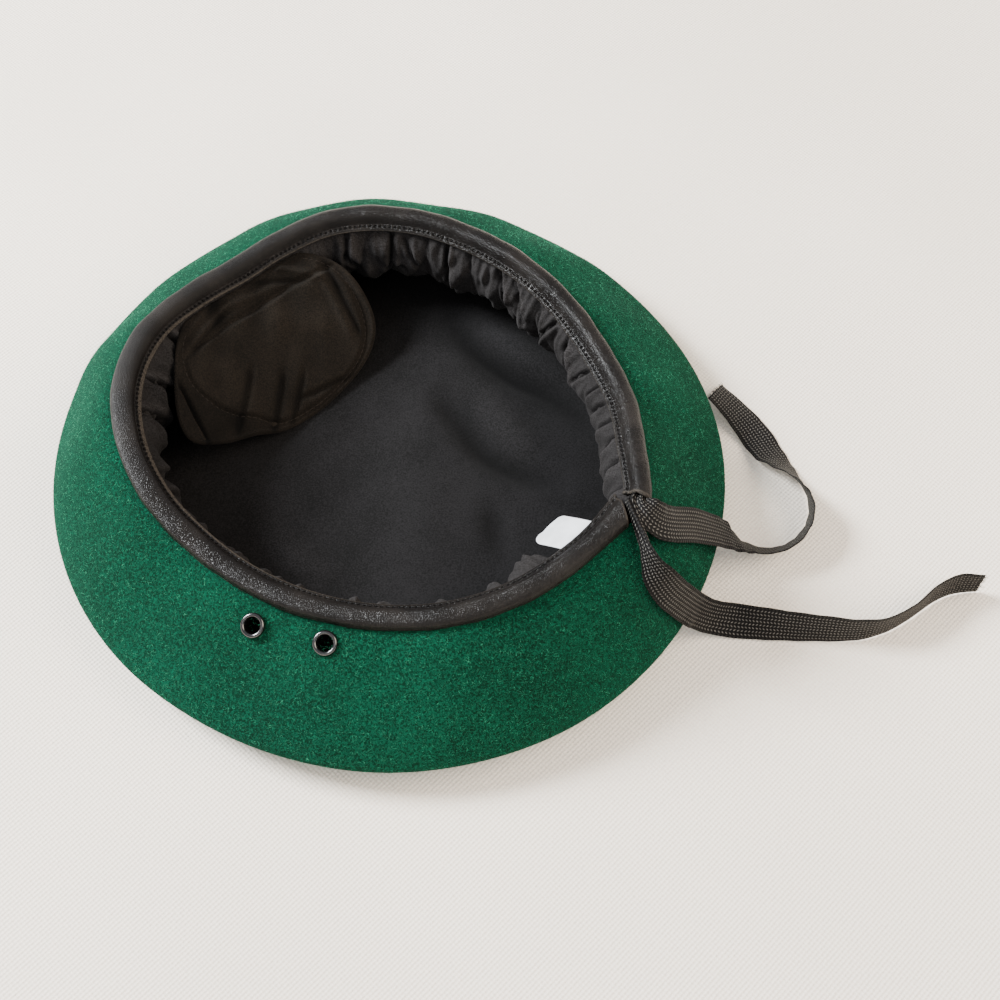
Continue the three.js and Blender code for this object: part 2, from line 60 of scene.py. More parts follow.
class Slot(Enum):
    """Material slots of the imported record."""

    FELT = "wool_felt"
    COTTON = "lining_cotton"
    LEATHER = "binding_leather"
    LABEL = "label_satin"
    EYELET = "eyelet_enamel"
    BRAID = "drawstring_braid"


# Arrays of points


def smooth(share: Array) -> Array:
    """Ease from 0 to 1: three times the square less twice the cube of the share."""
    t = np.clip(share, 0.0, 1.0)
    return t * t * (3 - 2 * t)


def unit(vectors: Array) -> Array:
    """Vectors divided by their lengths."""
    return vectors / np.maximum(np.linalg.norm(vectors, axis=-1, keepdims=True), 1e-12)


def hump(off: Array, wide: Array | float) -> Array:
    """Bell of height 1: the negative exponential of the squared distance over its half width."""
    return np.exp(-((off / wide) ** 2))


def bell(angle: Array, middle: float, reach: float) -> Array:
    """Bell round the ring, of the angle from its middle over its reach."""
    return hump(np.mod(angle - middle + 180, 360) - 180, reach)


def bells(angle: Array, rows: Bells) -> Array:
    """Sum of bells round the ring, each with its height, its middle and its reach."""
    return sum(height * bell(angle, middle, reach) for height, middle, reach in rows)


def ripples(
    turn: Array, along: Array, waves: tuple[int, int], drift: float, count: int, seed: int
) -> Array:
    """Random relief of about unit size that joins up round a ring.

    It is a sum of cosines of n times the turn plus m times the place along, each with a phase.

    Args:
        turn: Angle round the ring, in radians.
        along: Place across the ring, in any unit.
        waves: Fewest and most waves round the ring.
        drift: Most radians by which a wave shifts for one unit along.
        count: Number of waves that are added up.
        seed: Seed of the random numbers.

    Returns:
        Relief at each point, of the common shape of turn and along.
    """
    rng = np.random.default_rng(seed)
    total = np.zeros(np.broadcast(turn, along).shape)
    for n, m, phase in zip(
        rng.integers(waves[0], waves[1] + 1, count),
        rng.uniform(-drift, drift, count),
        rng.uniform(0, 2 * math.pi, count),
    ):
        total += np.cos(n * turn + m * along + phase)
    return total * math.sqrt(2 / count)


def round_table(rows: Array, column: int, angle: Array) -> Array:
    """Smooth value round the beret: the cubic through a closed table whose slope at a row is the
    difference of its neighbours over their distance.

    Args:
        rows: Table whose first column is the angle in degrees, from 0.
        column: Column that is read.
        angle: Angles in degrees.

    Returns:
        The column's value at each angle.
    """
    at = np.mod(angle, 360.0)
    knots = np.concatenate([rows[-2:, 0] - 360, rows[:, 0], rows[:3, 0] + 360])
    value = np.concatenate([rows[-2:, column], rows[:, column], rows[:3, column]])
    i = np.searchsorted(knots, at, side="right") - 1
    span = knots[i + 1] - knots[i]
    t = (at - knots[i]) / span
    leave = span * (value[i + 1] - value[i - 1]) / (knots[i + 1] - knots[i - 1])
    arrive = span * (value[i + 2] - value[i]) / (knots[i + 2] - knots[i])
    return (
        (2 * t**3 - 3 * t**2 + 1) * value[i]
        + (t**3 - 2 * t**2 + t) * leave
        + (3 * t**2 - 2 * t**3) * value[i + 1]
        + (t**3 - t**2) * arrive
    )


def normals2(path: Array) -> Array:
    """Unit vectors to the left of flat paths, from the chord between each point's neighbours.

    Args:
        path: Flat paths, one for each row.

    Returns:
        A normal for each point.
    """
    padded = np.concatenate([path[:, :1], path, path[:, -1:]], axis=1)
    along = unit(padded[:, 2:] - padded[:, :-2])
    return np.stack([-along[..., 1], along[..., 0]], axis=-1)


def beside(path: Array, distance: Array | float) -> Array:
    """Flat paths moved to their left: each point plus its left normal times the distance."""
    return path + normals2(path) * np.asarray(distance)[..., None]


def stand(flat: Array, angle: Array) -> Array:
    """Points of radius and height stood up at their angles: the radius times cosine and sine.

    Args:
        flat: Radius and height of each point.
        angle: Angle in degrees, of the shape of flat without its last axis, or one for each path.

    Returns:
        X, Y and Z of each point.
    """
    turn = np.radians(angle)
    if turn.ndim < flat.ndim - 1:
        turn = turn[:, None]
    radius, height = flat[..., 0], flat[..., 1]
    return np.stack([radius * np.cos(turn), radius * np.sin(turn), height], axis=-1)


def length_along(path: Array) -> Array:
    """Length along paths to each of their points: the running sum of the steps' lengths."""
    step = np.linalg.norm(np.diff(path, axis=-2), axis=-1)
    return np.concatenate([np.zeros((*step.shape[:-1], 1)), np.cumsum(step, axis=-1)], axis=-1)


def from_line(x: Array, y: Array, end: Pair) -> tuple[Array, Array]:
    """Place of points about a straight line from the origin.

    Args:
        x: First coordinate of the points.
        y: Second coordinate of the points.
        end: End of the line.

    Returns:
        Distance to the left of the line, and distance past its nearer end, or 0 beside it.
    """
    length = math.hypot(*end)
    along = (x * end[0] + y * end[1]) / length
    off = (y * end[0] - x * end[1]) / length
    return off, np.maximum(np.maximum(-along, along - length), 0)


def bezier(p0: Array, p1: Array, p2: Array, p3: Array, share: Array) -> Array:
    """Cubic Bezier curves, one for each row of the four corner arrays, at the shares.

    Args:
        p0: Start of each curve.
        p1: Its first handle.
        p2: Its second handle.
        p3: Its end.
        share: Places along the curves, from 0 to 1.

    Returns:
        A point for each curve and share.
    """
    t = share[None, :, None]
    corners = [p[:, None, :] for p in (p0, p1, p2, p3)]
    weights = [(1 - t) ** 3, 3 * (1 - t) ** 2 * t, 3 * (1 - t) * t**2, t**3]
    return sum(w * p for w, p in zip(weights, corners))


def grid_quads(rows: int, columns: int, ring: bool, loop: bool) -> Array:
    """Corners of the quads of a grid of points.

    Args:
        rows: Points along the first axis.
        columns: Points along the second axis.
        ring: Whether the last row joins the first.
        loop: Whether the last column joins the first.

    Returns:
        Four point numbers for each quad.
    """
    i = np.arange(rows if ring else rows - 1)[:, None]
    j = np.arange(columns if loop else columns - 1)[None, :]
    here, there = i * columns, (i + 1) % rows * columns
    k = (j + 1) % columns
    return np.stack([here + j, there + j, there + k, here + k], axis=-1).reshape(-1, 4)


def spikes(root: Array, tip: Array, radius: Array) -> tuple[Array, Array]:
    """Thin three-sided needles: three root corners a radius from the line to the tip, and the tip.

    Args:
        root: Root of each needle.
        tip: Tip of each needle.
        radius: Radius of each root.

    Returns:
        Points, and three point numbers for each face.
    """
    along = unit(tip - root)
    steep = np.abs(along[:, 2:]) >= 0.9
    side = unit(np.cross(along, np.where(steep, [[1.0, 0.0, 0.0]], [[0.0, 0.0, 1.0]])))
    other = np.cross(along, side)
    turns = np.radians([0.0, 120.0, 240.0])
    spread = [math.cos(a) * side + math.sin(a) * other for a in turns]
    corners = [root + radius[:, None] * way for way in spread]
    points = np.stack([*corners, tip], axis=1).reshape(-1, 3)
    base = 4 * np.arange(len(root))[:, None, None]
    faces = np.array([[0, 2, 1], [0, 1, 3], [1, 2, 3], [2, 0, 3]])[None]
    return points, (base + faces).reshape(-1, 3)


def catmull_rom(points: Array, shares: Array) -> Array:
    """Centripetal spline through the points: cubics whose knots are the square roots of the chords.

    Args:
        points: Points of the route.
        shares: Places from 0 to 1, with the same share for each stretch between two points.

    Returns:
        A point for each share.
    """
    first = 2 * points[:1] - points[1:2]
    last = 2 * points[-1:] - points[-2:-1]
    full = np.concatenate([first, points, last])
    at = shares * (len(points) - 1)
    i = np.minimum(at.astype(int), len(points) - 2)
    t = (at - i)[:, None]
    p0, p1, p2, p3 = (full[i + k] for k in range(4))
    chords = ((p0, p1), (p1, p2), (p2, p3))
    d0, d1, d2 = (np.sqrt(np.linalg.norm(b - a, axis=1, keepdims=True)) for a, b in chords)
    leave = ((p1 - p0) / d0 - (p2 - p0) / (d0 + d1) + (p2 - p1) / d1) * d1
    arrive = ((p2 - p1) / d1 - (p3 - p1) / (d1 + d2) + (p3 - p2) / d2) * d1
    return (
        p1
        + leave * t
        + (3 * (p2 - p1) - 2 * leave - arrive) * t**2
        + (2 * (p1 - p2) + leave + arrive) * t**3
    )


# Meshes


@dataclass
class Skin:
    """Points and faces of one piece, before they become a mesh.

    Attributes:
        points: Points in millimetres.
        faces: Arrays of point numbers, one array for each number of corners.
        uv: Place on the cloth in millimetres, one for each corner of each face, or None.
        marks: Named numbers, one for each point.
    """

    points: Array
    faces: list[Array]
    uv: Array | None = None
    marks: dict[str, Array] | None = None

    @classmethod
    def grid(
        cls, points: Array, ring: bool, loop: bool, cloth: Array | None = None, cap: bool = False
    ) -> "Skin":
        """Skin of a grid of points.

        Args:
            points: Grid of points.
            ring: Whether the last row joins the first.
            loop: Whether the last column joins the first.
            cloth: Place on the cloth, for a grid one longer than points along each joined axis.
            cap: Whether the first and last rows are closed by a face each.

        Returns:
            The skin.
        """
        rows, columns = points.shape[:2]
        faces = [grid_quads(rows, columns, ring, loop)]
        uv = None
        if cloth is not None:
            corner = grid_quads(cloth.shape[0], cloth.shape[1], False, False)
            uv = cloth.reshape(-1, 2)[corner].reshape(-1, 2)
        if cap:
            first = np.arange(columns)
            faces += [first[None, :], (len(points.reshape(-1, 3)) - columns + first[::-1])[None, :]]
            if uv is not None:
                uv = np.concatenate([uv, np.zeros((2 * columns, 2))])
        return cls(points.reshape(-1, 3), faces, uv)

    def build(
        self, name: str, slot: Slot, finish: bpy.types.Material, weld: bool = False
    ) -> bpy.types.Object:
        """Make the mesh, its object and its material.

        Args:
            name: Name of the piece.
            slot: Record slot of the piece, not used.
            finish: Material of the piece.
            weld: Whether points that coincide are joined.

        Returns:
            The object, riding on the root body.
        """
        mesh = bpy.data.meshes.new(name)
        corners = np.concatenate([face.ravel() for face in self.faces])
        sizes = np.concatenate([np.full(len(face), face.shape[1]) for face in self.faces])
        mesh.vertices.add(len(self.points))
        mesh.vertices.foreach_set("co", (self.points * MM).ravel())
        mesh.loops.add(len(corners))
        mesh.loops.foreach_set("vertex_index", corners)
        mesh.polygons.add(len(sizes))
        mesh.polygons.foreach_set("loop_start", np.cumsum(sizes) - sizes)
        mesh.polygons.foreach_set("use_smooth", np.ones(len(sizes), bool))
        mesh.update(calc_edges=True)
        if self.uv is not None:
            mesh.uv_layers.new(name="cloth").data.foreach_set("uv", (self.uv * MM).ravel())
        for mark, values in (self.marks or {}).items():
            mesh.attributes.new(mark, "FLOAT", "POINT").data.foreach_set("value", values.ravel())
        tidy_mesh(mesh, weld)
        mesh.materials.append(finish)
        piece = bpy.data.objects.new(name, mesh)
        bpy.context.scene.collection.objects.link(piece)
        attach(piece, "root")
        log.info("%s: %d faces", name, len(mesh.polygons))
        return piece


def tidy_mesh(mesh: bpy.types.Mesh, weld: bool) -> None:
    """Join coinciding points where asked, and turn the faces outwards.

    Args:
        mesh: Mesh that is changed.
        weld: Whether coinciding points are joined.
    """
    work = bmesh.new()
    work.from_mesh(mesh)
    if weld:
        bmesh.ops.remove_doubles(work, verts=work.verts, dist=1e-6)
    bmesh.ops.recalc_face_normals(work, faces=work.faces)
    work.to_mesh(mesh)
    work.free()


def bored(piece: bpy.types.Object, cutters: list[bpy.types.Object]) -> None:
    """Cut solid cutters out of a piece, and remove them.

    Args:
        piece: Piece that is cut.
        cutters: Solids that are cut out of it.
    """
    for cutter in cutters:
        cut = piece.modifiers.new("bore", "BOOLEAN")
        cut.operation = "DIFFERENCE"
        cut.solver = "EXACT"
        cut.object = cutter
    bpy.context.view_layer.update()
    view = bpy.context.evaluated_depsgraph_get()
    mesh = bpy.data.meshes.new_from_object(piece.evaluated_get(view))
    piece.modifiers.clear()
    piece.data = mesh
    for cutter in cutters:
        bpy.data.objects.remove(cutter)


# Finishes


def paint(red: int, green: int, blue: int) -> tuple[float, float, float, float]:
    """Linear colour of a display colour from 0 to 255, by the usual curve.

    Args:
        red: Red.
        green: Green.
        blue: Blue.

    Returns:
        The linear red, green and blue, and 1 for the alpha.
    """
    shares = [value / 255 for value in (red, green, blue)]
    linear = [s / 12.92 if s < 0.04045 else ((s + 0.055) / 1.055) ** 2.4 for s in shares]
    return (*linear, 1.0)


class Recipe:
    """Node tree of one finish, with its shader and output."""

    def __init__(self, name: str, **sockets: Any) -> None:
        """Start a material.

        Args:
            name: Name of the material.
            sockets: Values set on the shader, with _ for each space of a socket's name.
        """
        self.material = bpy.data.materials.new(name)
        self.material.use_nodes = True
        self.tree = self.material.node_tree
        self.tree.nodes.clear()
        self.shader = self.node("ShaderNodeBsdfPrincipled")
        output = self.node("ShaderNodeOutputMaterial")
        self.tree.links.new(self.shader.outputs["BSDF"], output.inputs["Surface"])
        for socket, value in sockets.items():
            self.shader.inputs[socket.replace("_", " ")].default_value = value
        self.place = self.node("ShaderNodeTexCoord").outputs["Object"]

    def node(
        self, kind: str, inputs: dict[Any, Any] | None = None, **settings: Any
    ) -> bpy.types.Node:
        """Add a node.

        Args:
            kind: Blender's name of the node.
            inputs: Value or linked socket for each input.
            settings: Properties of the node.

        Returns:
            The node.
        """
        made = self.tree.nodes.new(kind)
        for key, value in settings.items():
            setattr(made, key, value)
        for key, value in (inputs or {}).items():
            if isinstance(value, bpy.types.NodeSocket):
                self.tree.links.new(value, made.inputs[key])
            else:
                made.inputs[key].default_value = value
        return made

    def noise(
        self,
        size: float,
        detail: float = 3.0,
        rough: float = 0.5,
        swirl: float = 0.0,
        kind: str = "FBM",
    ) -> Any:
        """Noise over the piece's own coordinates.

        Args:
            size: Size of its features in millimetres.
            detail: Number of finer noises that are added.
            rough: Share by which each finer noise is weaker.
            swirl: How much the coordinates are stirred.
            kind: Blender's name of the kind of noise.

        Returns:
            The socket of its value.
        """
        inputs = {"Vector": self.place, "Scale": 1 / (size * MM), "Detail": detail}
        inputs |= {"Roughness": rough, "Distortion": swirl}
        return self.node("ShaderNodeTexNoise", inputs, noise_type=kind).outputs["Fac"]

    def math(self, operation: str, a: Any, b: Any = 0.0, c: Any = 0.0) -> Any:
        """Result of an operation on sockets or numbers."""
        return self.node("ShaderNodeMath", {0: a, 1: b, 2: c}, operation=operation).outputs[0]

    def ramp(
        self, factor: Any, low: float, high: float, start: float = 0.0, end: float = 1.0
    ) -> Any:
        """Value that goes from start to end as the factor goes from low to high, smoothly.

        Args:
            factor: Socket that is read.
            low: Factor at which it starts.
            high: Factor at which it ends.
            start: Value at the low factor.
            end: Value at the high factor.

        Returns:
            The value's socket.
        """
        inputs = {"Value": factor, "From Min": low, "From Max": high}
        inputs |= {"To Min": start, "To Max": end}
        made = self.node("ShaderNodeMapRange", inputs, interpolation_type="SMOOTHSTEP")
        return made.outputs["Result"]

    def mix(self, factor: Any, a: Any, b: Any, blend: str = "MIX") -> Any:
        """Colour between two, by a factor."""
        inputs = {0: factor, 6: a, 7: b}
        return self.node("ShaderNodeMix", inputs, data_type="RGBA", blend_type=blend).outputs[2]

    def mark(self, name: str) -> Any:
        """Number that the mesh carries under a name."""
        return self.node("ShaderNodeAttribute", attribute_name=name).outputs["Fac"]

    def bump(self, height: Any, depth: float, strength: float, under: Any = None) -> Any:
        """Normal bent by a height of so many millimetres, over another normal where given.

        Args:
            height: Socket of the height, from 0 to 1.
            depth: Depth in millimetres.
            strength: Share of the bend that is used.
            under: Normal that is bent, or None for the mesh's own.

        Returns:
            The normal's socket.
        """
        inputs = {"Height": height, "Distance": depth * MM, "Strength": strength}
        if under is not None:
            inputs["Normal"] = under
        return self.node("ShaderNodeBump", inputs).outputs["Normal"]

    def wear(self, **sockets: Any) -> bpy.types.Material:
        """Link sockets to the shader, with _ for each space of a name, and return the material.

        Args:
            sockets: Socket linked to each input of the shader.

        Returns:
            The material.
        """
        for socket, value in sockets.items():
            self.tree.links.new(value, self.shader.inputs[socket.replace("_", " ")])
        return self.material


@dataclass(frozen=True)
class FeltFinish:
    """Milled wool: curled fibres, paler at their crests, over a cloudy green."""

    deep: Dye = (4, 35, 24)
    pale: Dye = (14, 91, 66)
    sheen: Dye = (120, 214, 176)
    curl: float = 0.72
    cloud: float = 34.0
    cloudy: float = 0.11
    crests: Pair = (0.8, 0.98)

    def build(self, name: str) -> bpy.types.Material:
        """Make the material.

        Args:
            name: Name of the material.

        Returns:
            The material.
        """
        recipe = Recipe(name, Roughness=1.0, Sheen_Weight=0.03, Sheen_Roughness=0.6,
                        Sheen_Tint=paint(*self.sheen), Specular_IOR_Level=0.05)
        curls = recipe.noise(self.curl, 4.0, 0.72, 1.2)
        fibres = recipe.noise(self.curl / 3.0, 3.0, 0.6, 2.2)
        cloud = recipe.noise(self.cloud, 3.0, 0.55)
        height = recipe.math("MULTIPLY_ADD", fibres, 0.6, curls)
        shade = recipe.math("MULTIPLY_ADD", cloud, self.cloudy, height)
        crest = recipe.ramp(shade, *self.crests)
        colour = recipe.mix(crest, paint(*self.deep), paint(*self.pale))
        return recipe.wear(Base_Color=colour, Normal=recipe.bump(height, 0.6, 1.0))


@dataclass(frozen=True)
class FibreFinish:
    """Single wool fibres that stand off the felt."""

    colour: Dye = (58, 138, 104)

    def build(self, name: str) -> bpy.types.Material:
        """Make the material.

        Args:
            name: Name of the material.

        Returns:
            The material.
        """
        recipe = Recipe(name, Roughness=0.9, Specular_IOR_Level=0.1)
        tone = recipe.ramp(recipe.noise(3.0, 2.0), 0.3, 0.7)
        pale = tuple(min(255, int(value * 1.35)) for value in self.colour)
        deep = tuple(int(value * 0.6) for value in self.colour)
        return recipe.wear(Base_Color=recipe.mix(tone, paint(*deep), paint(*pale)))


@dataclass(frozen=True)
class LeatherFinish:
    """Soft dyed leather: fine pebbles, a low shine, pale raw edges, a painted highlight on the
    roll's outer edge, and a pierced stitch line with painted shade in its holes.
    """

    pitch: float
    seam_at: float
    dye: Dye = (19, 17, 16)
    rubbed: Dye = (31, 28, 26)
    raw: Dye = (66, 60, 53)
    # Colour of the painted shade in the stitch holes.
    hole: Dye = (3, 3, 3)
    pebble: float = 0.62
    crinkle: float = 2.6
    cloud: float = 16.0
    shine: Pair = (0.27, 0.32)
    rougher: tuple[tuple[str, float], ...] = (("cut", 0.3), ("dull", 0.25))

    def build(self, name: str) -> bpy.types.Material:
        """Make the material.

        Args:
            name: Name of the material.

        Returns:
            The material.
        """
        recipe = Recipe(name, Specular_IOR_Level=0.14)
        cells = recipe.node(
            "ShaderNodeTexVoronoi",
            {"Vector": recipe.place, "Scale": 1 / (self.pebble * MM), "Randomness": 1.0},
            feature="DISTANCE_TO_EDGE",
        ).outputs["Distance"]
        grain = recipe.ramp(cells, 0.0, 0.32)
        crinkle = recipe.noise(self.crinkle, 4.0, 0.6, 0.6)
        cloud = recipe.ramp(recipe.noise(self.cloud, 3.0), 0.35, 0.75)
        colour = recipe.mix(cloud, paint(*self.dye), paint(*self.rubbed))
        # The cut mark paints the raw colour: on the real raw edges, and as a painted highlight
        # along the roll's outer edge.
        fray = recipe.ramp(recipe.noise(0.5, 2.0), 0.25, 0.6)
        fray = recipe.math("MULTIPLY", recipe.mark("cut"), fray)
        colour = recipe.mix(fray, colour, paint(*self.raw))
        beat = recipe.math("MULTIPLY", recipe.mark("run"), 2 * math.pi / self.pitch)
        beat = recipe.ramp(recipe.math("COSINE", beat), -0.35, 0.5)
        aside = recipe.math("SUBTRACT", recipe.mark("lie"), self.seam_at)
        aside = recipe.ramp(recipe.math("ABSOLUTE", aside), 0.2, 0.65, 1.0, 0.0)
        pierced = recipe.math("MULTIPLY", beat, aside)
        # Painted shade: the stitch holes are darkened towards the hole colour.
        colour = recipe.mix(recipe.math("MULTIPLY", pierced, 0.85), colour, paint(*self.hole))
        shine = recipe.ramp(crinkle, 0.3, 0.7, *self.shine)
        for mark, change in self.rougher:
            shine = recipe.math("MULTIPLY_ADD", recipe.mark(mark), change, shine)
        normal = recipe.bump(crinkle, 0.05, 0.15)
        normal = recipe.bump(grain, 0.08, 0.95, normal)
        normal = recipe.bump(recipe.math("MULTIPLY", pierced, -1.0), 0.45, 0.8, normal)
        return recipe.wear(Base_Color=colour, Roughness=shine, Normal=normal)


@dataclass(frozen=True)
class CottonFinish:
    """Black cotton: a fine nap or weave, cloudy wear, a few pale specks of lint, and painted light
    and shade: the colour is paler where the piece's fold mark rises and darker where it sinks."""

    dye: Dye
    wear_and_shade: Dye
    thread: float
    nap: float
    sheen: float
    lint: Dye = (84, 80, 78)
    bloom: Dye = (214, 210, 208)
    fold_light_and_shade: float = 0.8

    def build(self, name: str) -> bpy.types.Material:
        """Make the material.

        Args:
            name: Name of the material.

        Returns:
            The material.
        """
        recipe = Recipe(name, Roughness=0.92, Specular_IOR_Level=0.12, Sheen_Weight=self.sheen,
                        Sheen_Roughness=0.45, Sheen_Tint=paint(*self.bloom))
        weave = recipe.noise(self.thread, 3.0, 0.7, 0.4)
        cloud = recipe.noise(22.0, 4.0, 0.6)
        tone = recipe.math("MULTIPLY_ADD", cloud, 0.3, weave)
        colour = recipe.mix(recipe.ramp(tone, 0.5, 0.8), paint(*self.dye), paint(*self.wear_and_shade))
        lint = recipe.noise(0.9, 2.0, 0.4, 2.5, "RIDGED_MULTIFRACTAL")
        lint = recipe.ramp(lint, 0.972, 1.0, 0.0, 0.3)
        colour = recipe.mix(lint, colour, paint(*self.lint))
        # Painted light and shade: the colour is scaled by one plus the fold mark times its
        # strength.
        crest = recipe.math("MULTIPLY_ADD", recipe.mark("fold"), self.fold_light_and_shade, 1.0)
        colour = recipe.mix(1.0, colour, recipe.math("MAXIMUM", crest, 0.1), "MULTIPLY")
        return recipe.wear(Base_Color=colour, Normal=recipe.bump(weave, self.nap, 0.6))


@dataclass(frozen=True)
class BraidFinish:
    """Flat braid: ribs along the tape, each of small slanted cells that glint where they crest."""

    dye: Dye = (5, 4, 4)
    glint: Dye = (112, 109, 104)
    rib: float = 1.5
    cell: float = 1.35
    slope: float = 0.75
    selvage: Pair = (5.8, 6.8)

    def build(self, name: str) -> bpy.types.Material:
        """Make the material: the size of a sine across each rib times a slanted wave along it.

        Args:
            name: Name of the material.

        Returns:
            The material.
        """
        recipe = Recipe(name, Roughness=0.6, Specular_IOR_Level=0.15)
        spread = recipe.node("ShaderNodeUVMap", uv_map="cloth").outputs["UV"]
        parts = recipe.node("ShaderNodeSeparateXYZ", {"Vector": spread})
        across = recipe.math("MULTIPLY", parts.outputs["X"], 1 / (self.rib * MM))
        along = recipe.math("MULTIPLY", parts.outputs["Y"], 1 / (self.cell * MM))
        wave = recipe.math("SINE", recipe.math("MULTIPLY", across, math.pi))
        ridge = recipe.math("POWER", recipe.math("ABSOLUTE", wave), 1.1)
        slant = recipe.math("PINGPONG", across, 1.0)
        slant = recipe.math("MULTIPLY_ADD", slant, self.slope, along)
        twist = recipe.math("COSINE", recipe.math("MULTIPLY", slant, 2 * math.pi))
        cell = recipe.math("MULTIPLY_ADD", twist, 0.36, 0.64)
        height = recipe.math("MULTIPLY", ridge, cell)
        fuzz = recipe.ramp(recipe.noise(0.45, 3.0), 0.3, 0.7, 0.45, 1.0)
        crest = recipe.math("MULTIPLY", recipe.ramp(height, 0.46, 0.98), fuzz)
        start, end = (edge * MM for edge in self.selvage)
        side = recipe.ramp(recipe.math("ABSOLUTE", parts.outputs["X"]), start, end, 1.0, 0.1)
        crest = recipe.math("MULTIPLY", crest, side)
        colour = recipe.mix(crest, paint(*self.dye), paint(*self.glint))
        return recipe.wear(Base_Color=colour, Normal=recipe.bump(height, 0.35, 1.0))


@dataclass(frozen=True)
class SatinFinish:
    """White label satin with a fine ribbed weave."""

    colour: Dye = (228, 230, 234)

    def build(self, name: str) -> bpy.types.Material:
        """Make the material.

        Args:
            name: Name of the material.

        Returns:
            The material.
        """
        recipe = Recipe(name, Roughness=0.55, Sheen_Weight=0.2, Specular_IOR_Level=0.35)
        soil = recipe.ramp(recipe.noise(6.0, 3.0), 0.3, 0.75)
        grey = tuple(int(value * 0.9) for value in self.colour)
        colour = recipe.mix(soil, paint(*grey), paint(*self.colour))
        weave = recipe.bump(recipe.noise(0.28, 2.0), 0.08, 0.4)
        return recipe.wear(Base_Color=colour, Normal=weave)


@dataclass(frozen=True)
class EnamelFinish:
    """Black stove enamel over brass, with faint orange peel and rubbed spots."""

    colour: Dye = (12, 12, 13)
    rubbed: Dye = (40, 39, 38)

    def build(self, name: str) -> bpy.types.Material:
        """Make the material.

        Args:
            name: Name of the material.

        Returns:
            The material.
        """
        recipe = Recipe(name, Coat_Weight=0.6, Coat_Roughness=0.08, Specular_IOR_Level=0.7)
        rub = recipe.ramp(recipe.noise(1.3, 4.0, 0.65), 0.55, 0.8)
        colour = recipe.mix(rub, paint(*self.colour), paint(*self.rubbed))
        rough = recipe.ramp(rub, 0.0, 1.0, 0.16, 0.36)
        peel = recipe.bump(recipe.noise(0.8), 0.03, 0.5)
        return recipe.wear(Base_Color=colour, Roughness=rough, Normal=peel)


@dataclass(frozen=True)
class ThreadFinish:
    """Waxed sewing thread."""

    colour: Dye = (14, 12, 12)
    paler: int = 16

    def build(self, name: str) -> bpy.types.Material:
        """Make the material.

        Args:
            name: Name of the material.

        Returns:
            The material.
        """
        recipe = Recipe(name, Roughness=0.7, Specular_IOR_Level=0.12)
        twist = recipe.noise(0.25, 1.0)
        pale = tuple(value + self.paler for value in self.colour)
        colour = recipe.mix(recipe.ramp(twist, 0.35, 0.75), paint(*self.colour), paint(*pale))
        return recipe.wear(Base_Color=colour, Normal=recipe.bump(twist, 0.05, 0.6))


@dataclass(frozen=True)
class TableFinish:
    """Plain pale cloth on the table, with a faint painted glow in its own colour."""

    colour: Dye = (255, 244, 229)
    slub: int = 7
    weave: float = 2.0
    glow: float = 0.1

    def build(self, name: str) -> bpy.types.Material:
        """Make the material.

        Args:
            name: Name of the material.

        Returns:
            The material.
        """
        # Painted light: the cloth glows faintly in its own colour.
        recipe = Recipe(name, Roughness=0.95, Specular_IOR_Level=0.1, Emission_Strength=self.glow,
                        Emission_Color=paint(*self.colour))
        cloud = recipe.ramp(recipe.noise(180.0, 2.0), 0.3, 0.7)
        slub = tuple(value - self.slub for value in self.colour)
        colour = recipe.mix(cloud, paint(*slub), paint(*self.colour))
        parts = recipe.node("ShaderNodeSeparateXYZ", {"Vector": recipe.place})
        turns = 2 * math.pi / (self.weave * MM)
        waves = [
            recipe.math("SINE", recipe.math("MULTIPLY", parts.outputs[axis], turns))
            for axis in ("X", "Y")
        ]
        slubs = recipe.noise(1.3, 3.0, 0.6)
        height = recipe.math("MULTIPLY_ADD", recipe.math("MULTIPLY", *waves), 0.5, slubs)
        shade = recipe.ramp(height, 0.1, 0.9, 0.88, 1.0)
        colour = recipe.mix(1.0, colour, shade, "MULTIPLY")
        return recipe.wear(Base_Color=colour, Normal=recipe.bump(height, 0.3, 0.8))


# Form of the beret


